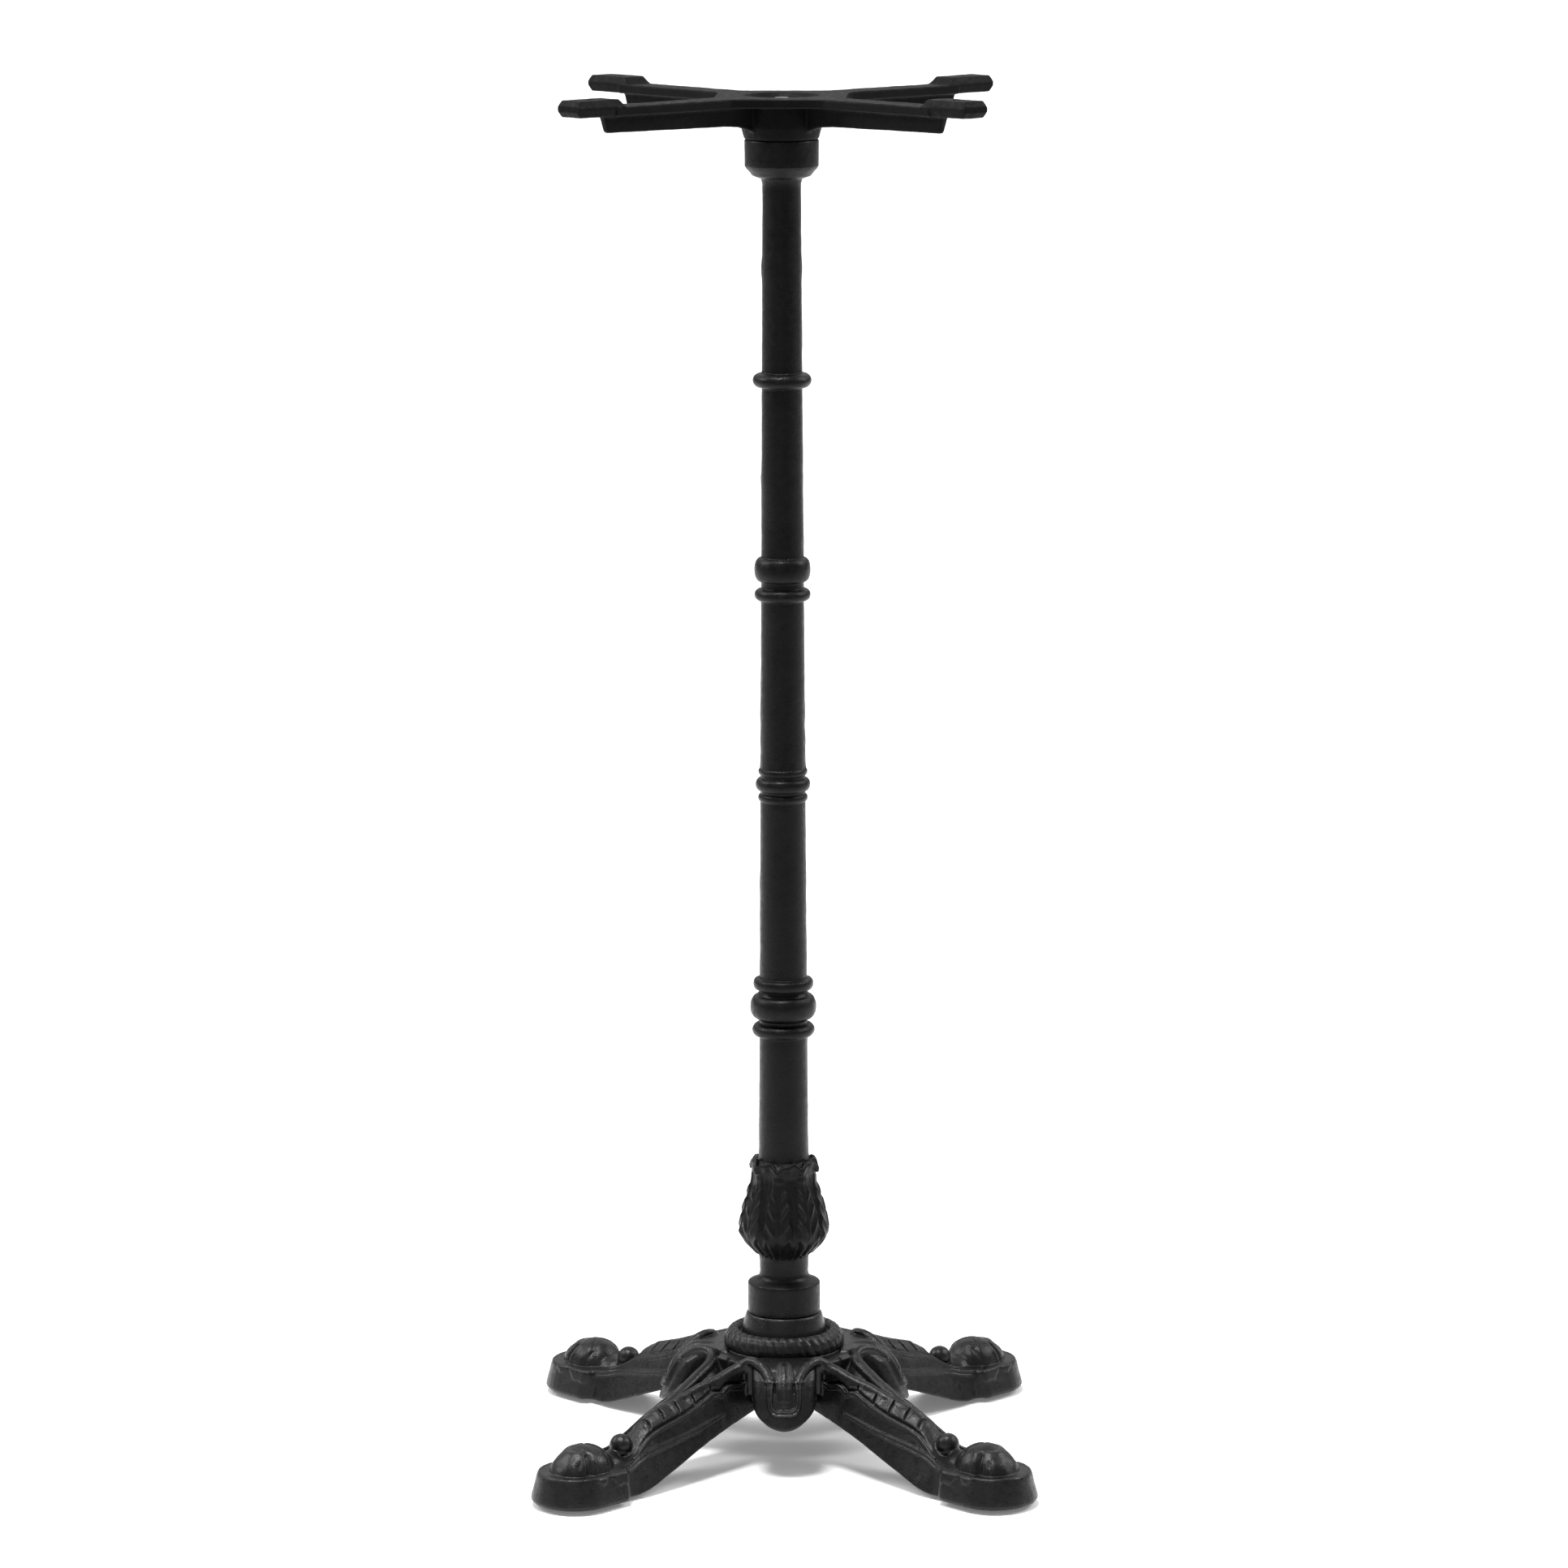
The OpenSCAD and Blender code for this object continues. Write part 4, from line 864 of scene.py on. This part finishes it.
# ------------------------------------------------------------------ turned castings
def soften(path, sigma=0.4, step=0.2):
    """Resamples a closed polyline evenly and rounds its corners a little."""
    P = np.array(path + [path[0]], float)
    L = np.concatenate([[0], np.cumsum(np.hypot(*np.diff(P, axis=0).T))])
    n = int(L[-1] / step)
    s = np.arange(n) * (L[-1] / n)
    Q = np.column_stack([np.interp(s, L, P[:, c]) for c in (0, 1)])
    k = int(4 * sigma / step) + 1
    w = np.exp(-0.5 * (np.arange(-k, k + 1) * step / sigma) ** 2)
    w /= w.sum()
    E = np.concatenate([Q[-k:], Q, Q[:k]])
    return np.column_stack([np.convolve(E[:, c], w, mode="valid") for c in (0, 1)])


def pick(Q, spacing):
    """Keeps points so that neighbours are about spacing(r, z) apart, and closer on curves."""
    keep, last, turn = [0], Q[0], 0.0
    d = np.diff(np.concatenate([Q, Q[:1]]), axis=0)
    ang = np.unwrap(np.arctan2(d[:, 1], d[:, 0]))
    a0 = ang[0]
    for i in range(1, len(Q)):
        gap = math.hypot(*(Q[i] - last))
        if gap >= spacing(*Q[i]) or (abs(ang[i] - a0) > 0.16 and gap > 0.25):
            keep.append(i)
            last, a0 = Q[i], ang[i]
    return Q[keep]


def lathe(Q, n, push=None):
    """Closed surface of revolution; push(theta, r, z) gives new r, z."""
    th = np.arange(n) * 2 * math.pi / n
    R = np.repeat(Q[:, :1], n, 1)
    Z = np.repeat(Q[:, 1:], n, 1)
    T = np.repeat(th[None, :], len(Q), 0)
    if push is not None:
        R, Z = push(T, R, Z)
    V = np.stack([R * np.cos(T), R * np.sin(T), Z], -1).reshape(-1, 3)
    i = np.arange(len(Q))[:, None] * n
    i2 = np.roll(np.arange(len(Q)), -1)[:, None] * n
    j = np.arange(n)[None, :]
    j2 = np.roll(np.arange(n), -1)[None, :]
    F = np.stack([i + j, i + j2, i2 + j2, i2 + j], -1).reshape(-1, 4)
    return V, F


def wrap(a, period):
    return (a + period / 2) % period - period / 2


def shaft_r(z):
    return 19.3 + (14.6 - 19.3) * max((z - 240) / 753, 0) ** 0.93


BEADS = [(336.8, 5.2, 18.6, 24.4), (355.2, 9.2, 20.2, 25.65), (373.4, 4.2, 20.6, 23.25), (521, 2.9, 17.2, 19.1), (531.4, 5, 17.3, 21.05),
         (541.2, 2.6, 17.2, 18.6), (680, 4.7, 16.9, 21.6), (699.4, 9.2, 17.05, 21.5), (846, 5.6, 16.1, 22.5)]
LEAF0 = math.radians(-90 - 9)


def smooth01(t):
    t = np.clip(t, 0, 1)
    return t * t * (3 - 2 * t)


def column_push(T, R, Z):
    R, Z = R.copy(), Z.copy()
    body = (R > 12) & (Z > 146) & (Z < 997)
    # acanthus leaves round the bulb
    v = (Z - 156) / 62.0
    on = smooth01((Z - 155) / 8) * smooth01((226 - Z) / 8) * body
    a = wrap(T - LEAF0, math.pi / 4) / (math.pi / 8)
    s = np.abs(a)
    saw = 0.5 - 0.5 * np.cos(2 * math.pi * (v * 4.6 + 0.05))
    wleaf = np.interp(v, [0, 0.25, 0.5, 0.75, 0.9, 1.05], [0.80, 0.95, 0.93, 0.80, 0.62, 0.5]) * (1.01 - 0.11 * saw * smooth01((v - 0.12) / 0.2))
    plate = smooth01((wleaf - s) / 0.13)
    rib = np.exp(-(a / 0.085) ** 2) * smooth01((v - 0.06) / 0.1) * (1 - 0.5 * v)
    ph = v * 4.6 - 1.45 * s + 0.15
    lobe = (0.5 + 0.5 * np.cos(2 * math.pi * (ph - 0.55))) ** 2.4
    veins = lobe * smooth01((s - 0.10) / 0.16) * smooth01((wleaf - s) / 0.10) * smooth01((v - 0.14) / 0.14) * smooth01((1.0 - v) / 0.15)
    edge = np.exp(-((s - wleaf + 0.06) / 0.05) ** 2) * smooth01((v - 0.1) / 0.2)
    groove = np.exp(-((1 - s) / 0.07) ** 2)
    flutes = smooth01((Z - 155) / 3) * smooth01((176 - Z) / 9) * body
    fl = np.abs(np.sin(12 * (T - LEAF0))) ** 0.7
    R += on * (1 - 0.75 * flutes) * (1.35 * plate - 0.35 + 0.7 * rib + 1.35 * veins + 0.45 * edge - 0.5 * groove)
    R += flutes * (1.35 * fl - 0.85)
    # folded lip with uneven tips
    lip = smooth01((Z - 223.5) / 3.0) * smooth01((235 - Z) / 2.0) * (R > 20.4) * body
    c8 = np.cos(8 * (T - LEAF0))
    c16 = np.cos(16 * (T - LEAF0) + 0.9)
    odd = np.sin(3 * T + 1.1) * 0.35 + np.sin(5 * T + 2.6) * 0.3
    R += lip * (0.75 * c8 + 0.45 * c16 + 0.5 * odd)
    Z -= lip * (1.9 * c8 + 0.9 * c16 + 1.1 * odd)
    R += smooth01((Z - 216) / 5) * smooth01((229 - Z) / 5) * body * 0.55 * c8
    # joint line of the mould, left and right, and the flash left on it
    plain = body & (R < 30)
    for t0, g in ((math.pi, 1.0), (0.0, 0.8)):
        w = wrap(T - t0, 2 * math.pi) * R
        line = np.exp(-(w / 0.9) ** 2)
        R += plain * line * (0.16 + 0.10 * np.sin(Z / 7.3 + t0) * np.sin(Z / 17.0))
        for z0, l0, hgt in ((932, 8, 0.55), (588, 7, 0.34), (566, 5, 0.28), (545, 6, 0.30), (770, 5, 0.25), (455, 6, 0.2)):
            R += g * plain * np.exp(-(w / 2.1) ** 2) * hgt * np.exp(-((Z - z0) / l0) ** 4)
    # rough sand along the upper fillet of each bead
    for zc, hh, _, _ in BEADS[2:9]:
        if (zc, hh) in ((521, 2.9), (531.4, 5), (680, 4.7)):
            continue
        m = np.exp(-((Z - zc - hh - 0.6) / 1.5) ** 2) * body
        n = np.sin(T * 17 + zc) * np.sin(T * 29 + 2 * zc) + 0.6 * np.sin(T * 43 + 0.7 * zc)
        R += m * 0.28 * np.maximum(n, -0.2)
    return R, Z


def build_column():
    pts = [(22.4, 110.3), (28.4, 110.6), (28.4, 133.2), (27.7, 134.4), (24.2, 135.9), (21.2, 137.4), (19.6, 139.4), (19.0, 142), (19.0, 152), (19.6, 155.4), (21, 157.8)]
    bulb = [(21, 157.8), (26.4, 161.8), (31.0, 166.5), (33.3, 171.5), (33.9, 177), (32.9, 184.5), (30.3, 196), (26.9, 206.5), (24.8, 214), (24.2, 219), (24.3, 223.5)]
    b = np.array(bulb)
    zi = np.arange(159.0, 223.5, 1.5)
    ri = np.interp(zi, b[:, 1], b[:, 0])
    ri = np.convolve(np.pad(ri, 3, mode="edge"), np.array([1, 3, 5, 6, 5, 3, 1]) / 24, mode="valid")
    pts += list(zip(ri, zi)) + [(24.9, 225.2), (26.0, 227.0), (26.6, 229.4), (26.0, 231.6), (23.8, 232.4), (21.0, 231.2), (19.8, 233.0), (19.35, 240)]
    z = 246.0
    for zc, hh, root, crown in BEADS:
        while z < zc - hh - 6:
            pts.append((shaft_r(z), z))
            z += 6
        zl = zc - hh
        if pts[-1][1] < zl - 1.5:
            pts.append((shaft_r(zl - 1.4), zl - 1.4))
        r0 = min(root, shaft_r(zl)) if root < shaft_r(zl) + 0.5 else root
        pts.append((max(root, shaft_r(zl)) if root >= 20 else shaft_r(zl), zl - 0.1))
        for k in range(0, 19):
            t = math.pi * k / 18
            pts.append((root + (crown - root) * math.sin(t) ** 0.82, zc - hh * math.cos(t)))
        z = zc + hh + 1.6
        pts.append((max(shaft_r(z), root if root >= 20 and zc < 370 else 0), z - 1.0))
        z += 2
    while z < 996:
        pts.append((shaft_r(z), z))
        z += 6
    pts += [(14.7, 996.5), (15.2, 998), (16, 1000.4), (18.6, 1001.2), (22.4, 1002.6), (23.6, 1004), (24.6, 1005.6), (26.9, 1007.8), (28.4, 1010.3), (28.4, 1029.7), (27.9, 1030.3),
            (22.4, 1030.3), (22.4, 1025.5), (9.5, 1025.5), (9.5, 115), (22.4, 115)]
    pts = [(float(r), float(zz)) for r, zz in pts]
    Q = soften(pts, 0.38, 0.2)

    def gap(r, zz):
        if r < 12:
            return 40
        if 153 < zz < 235:
            return 0.62
        if any(abs(zz - c) < q + 3 for c, q, _, _ in BEADS):
            return 0.8
        return 4.5
    Q = pick(Q, gap)
    V, F = lathe(Q, 240, column_push)
    o = new_object("cast_column", new_mesh("column_body", V, F))
    as_cast(o, [(46, 0.07), (17, 0.05), (6.5, 0.035)], 11, lambda P: np.hypot(P[:, 0], P[:, 1]) > 12)
    return o


def build_ring():
    """Gadrooned ring, neck and spigot on the middle of the base."""
    pts = [(6.6, 80.6), (40.5, 80.6), (43, 81.4), (45.2, 82), (46.9, 84.2), (47.2, 87.4), (46.6, 90.2), (45.7, 92.6), (43.2, 96.2), (39.8, 98.0), (36.9, 97.2), (35.2, 94.9), (34.3, 93.0), (33.6, 93.2), (33.1, 95.8),
           (32, 100.9), (30.3, 107), (29.5, 108.9), (28.7, 109.7), (28, 110), (22, 110), (22, 113.8), (21.2, 114.5), (6.6, 114.5)]
    Q = pick(soften(pts, 0.34, 0.15), lambda r, z: 0.75 if 34 < r and z > 81.5 else (12 if r < 21 else 2.0))

    def push(T, R, Z):
        p = np.arctan2(Z - 88.5, R - 39.5)            # 0 at the widest, pi/2 on top
        arc = np.clip(p, -1.2, 1.9)
        m = smooth01((R - 35.6) / 1.6) * smooth01((Z - 82.2) / 2.2)
        lobe = np.abs(np.sin(0.5 * (36 * T + 2.2 * arc))) ** 0.7
        fade = smooth01((arc + 0.75) / 0.5)
        d = (0.95 * lobe - 0.85) * m * (0.25 + 0.75 * fade)
        return R + d * np.cos(arc), Z + d * np.sin(arc) * 0.9
    V, F = lathe(Q, 336, push)
    # thin everted lip below the ring
    lip = []
    for k in range(14):
        t = 2 * math.pi * k / 14
        lip.append((45.6 + 1.5 * math.cos(t), 81.9 + 0.95 * math.sin(t)))
    V2, F2 = lathe(np.array(lip), 168)
    V2[:, 2] += 0.12 * np.sin(5 * np.arctan2(V2[:, 1], V2[:, 0]))
    return V, F, V2, F2


def spider_field(h):
    x = np.arange(-2 * h, 215.5, h).astype(f32)
    y = np.arange(-2 * h, 46.0, h).astype(f32)
    z = np.arange(1024.6, 1071.6, h).astype(f32)
    t = 1070.0
    X, Y = x[:, None], np.abs(y)[None, :]
    X3, Y3, Z3 = x[:, None, None], np.abs(y)[None, :, None], z[None, None, :]
    r = np.sqrt(X * X + Y * Y)
    n = (X + Y) / math.sqrt(2)
    r1 = 213 - 2.6
    r0 = r1 - 38.6
    # plate
    flat = smax(n - 50, X - 58, 2.0)
    arm = smax(Y - 12.5, X - (r0 + 4), 1.0)
    plan = smin(flat, arm + 0 * X, 6.0)[:, :, None]
    d = smax(plan, np.abs(Z3 - 1060.5) - 3.5, 1.1)
    # raised pad
    sec = poly_sd(np.abs(y)[:, None], z[None, :], [(-10.1, t), (10.1, t), (12.3, t - 5.6), (12.3, t - 7.4), (10.8, t - 13.3), (-10.8, t - 13.3), (-12.3, t - 7.4), (-12.3, t - 5.6)])
    lon = poly_sd(x[:, None], z[None, :], [(r0 - 7, 1063), (r0, t), (r1, t), (r1 + 2.6, t - 4.2), (r1 + 2.6, t - 8.8), (r1 - 0.6, t - 13.3), (r0 - 4, t - 13.3), (r0 - 7, t - 12)])
    pad = smax(sec[None, :, :], lon[:, None, :], 1.5)
    grit = (np.sin(X3 * 2.1 + Y3 * 1.3) * np.sin(Z3 * 2.6 + X3 * 0.7) + 0.7 * np.sin(X3 * 3.7 - Z3 * 3.1 + Y3 * 2.9)) * 0.13
    grit = grit * np.clip((t - 0.9 - Z3) / 1.0, 0, 1) * np.clip((Z3 - (t - 8.5)) / 2, 0, 1)
    d = smin(d, pad - grit, 1.2)
    # web below each arm
    lon = poly_sd(x[:, None], z[None, :], [(18, 1058), (r0 + 9, 1058), (r0 + 8.6, 1057), (r0 + 5, 1045.4), (r0 + 3.6, 1044.1), (60, 1042.7), (44, 1041.5), (24, 1036)])
    web = smax(Y3 - (2.35 + 0.045 * (Z3 - 1043)), lon[:, None, :], 1.2)
    d = smin(d, web, 2.6)
    # socket, spigot, cup
    hub = table_sd(r, z, [(-60, 1030.6), (27.7, 1030.6), (28.6, 1031.6), (30.8, 1040), (31.6, 1056), (32.8, 1060), (-60, 1060)], 0, 80)
    rough = (np.sin(X3 * 1.9 + Z3) * np.sin(Y3 * 2.3 - Z3 * 1.4)) * 0.28 * np.exp(-((Z3 - 1053) / 4) ** 2) * np.exp(-((Y3 - 4) / 4) ** 2)
    d = smin(d, hub - rough, 2.4)
    spig = smax((r - 22)[:, :, None], np.abs(Z3 - 1030.3) - 4, 0.8)
    d = np.minimum(d, spig)
    # the soft joins must not fill the seam that faces the column
    d = smax(d, np.minimum(1030.55 - Z3, (r - 22.0)[:, :, None]), 0.3)
    cup = table_sd(r, z, [(-60, 1041), (24.2, 1041), (24.6, 1059), (29.3, 1064), (29.3, 1075), (-60, 1075)], 0, 80)
    bore = (r - 6.6)[:, :, None] + 0 * Z3
    hole = (np.sqrt((X - 191) ** 2 + Y ** 2) - 3.5)[:, :, None] + 0 * Z3
    d = smax(d, -np.minimum(np.minimum(cup, bore), hole), 0.8)
    return x, y, z, d.astype(f32)


def build_spider():
    x, y, z, F = spider_field(0.6)
    V, Q = surface_nets(F, x, y, z)
    V = relax(V, Q, F, x, y, z, 2)
    VV, faces = octant_to_whole("spider_tmp", V, Q)
    c, s = math.cos(TWIST), math.sin(TWIST)
    VV = np.column_stack([VV[:, 0] * c - VV[:, 1] * s, VV[:, 0] * s + VV[:, 1] * c, VV[:, 2]])
    o = new_object("cast_spider", new_mesh("spider_body", VV, faces))
    thin(o, 0.42)
    as_cast(o, [(38, 0.10), (12, 0.05), (5, 0.03)], 21)
    return o


def threaded(name, r, z0, z1, pitch, zones, n, at=(0, 0), taper=0.9):
    """Rod with helical threads cut in the given z zones."""
    rows, z = [], z0 + taper
    while z < z1 - taper:
        rows.append(z)
        z += pitch / 8 if any(a - 1 <= z <= b + 1 for a, b in zones) else 6.0
    rows.append(z1 - taper)
    Q = np.array([(0.02, z0), (r - taper, z0)] + [(r, q) for q in rows] + [(r - taper, z1), (0.02, z1)])

    def push(T, R, Z):
        k = 0
        for a, b in zones:
            k = k + smooth01((Z - a) / 1.0) * smooth01((b - Z) / 1.5)
        tri = np.abs(((Z / pitch - T / (2 * math.pi)) % 1.0) * 2 - 1)
        cut = np.clip(tri * 1.25 - 0.12, 0, 1) * pitch * 0.56
        return R - np.where(R > r - 0.1, cut * k, 0), Z
    V, F = lathe(Q, n, push)
    F = F[:-n]                                     # no wall along the axis
    e0, e1 = V[:n].mean(0), V[-n:].mean(0)
    m = len(V)
    V = np.concatenate([V, [e0], [e1]])
    j = np.arange(n)
    j2 = np.roll(j, -1)
    c0 = np.column_stack([j2, j, np.full(n, m)])
    c1 = np.column_stack([m - n + j, m - n + j2, np.full(n, m + 1)])
    V[:, 0] += at[0]
    V[:, 1] += at[1]
    return new_object(name, new_mesh(name + "_mesh", V, [F, c0, c1]))


# ------------------------------------------------------------------ go
cam = make_camera()
make_stage()
sc = bpy.context.scene
sc.view_settings.view_transform = "Standard"
sc.view_settings.look = "None"

iron = painted_iron("black_iron", "wear")
iron_top = painted_iron("black_iron_top", "wear", rough=0.50, dark=0.0028, spec=0.07)
# Painted shade: the column gets a darker, less glossy copy of the base paint.
iron_col_shaded = painted_iron("black_iron_column_shaded", "wear", rough=0.34, dark=0.0032, spec=0.14)
iron_plain = painted_iron("black_iron_plain")
zinc = plated("zinc_plate", (0.62, 0.62, 0.64), 0.32)
steel = plated("spring_steel_dark", (0.40, 0.40, 0.42), 0.38)
rod_m = plated("zinc_rod", (0.55, 0.55, 0.57), 0.34)
plastic = moulded("black_nylon")

for n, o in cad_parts.items():
    if n.endswith("_casting"):
        dress(o, iron_plain)
    elif n.startswith("glide_pad"):
        dress(o, plastic)
    elif "spring" in n:
        dress(o, steel)
    elif "rod" in n or "stem" in n:
        dress(o, rod_m)
    else:
        dress(o, zinc)

base = build_base(iron)
edge_layer(base)
dress(base, iron)
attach(base, "base")
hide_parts("base_casting")

column = build_column()
edge_layer(column)
dress(column, iron_col_shaded)
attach(column, "base")
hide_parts("column_casting")

spider = build_spider()
edge_layer(spider)
dress(spider, iron_top)
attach(spider, "spider")
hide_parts("spider_casting")

rod = threaded("threaded_tie_rod", 6.0, 40.0, 1062.0, 1.75, [(36, 84), (1018, 1066)], 40)
dress(rod, rod_m)
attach(rod, "base")
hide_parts("tie_rod")
for tag, ang in zip(("fl", "fr", "bl", "br"), LEG_ANGLES):
    st = threaded("threaded_stem_" + tag, 4.0, 3.0, 37.0, 1.25, [(6.5, 40)], 28, (FOOT_R * math.cos(ang), FOOT_R * math.sin(ang)), 0.6)
    dress(st, rod_m)
    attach(st, "glide_stem_" + tag)
    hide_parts("glide_stem_" + tag)
for o in (base, column, spider, rod):
    print(o.name, len(o.data.vertices), len(o.data.polygons))
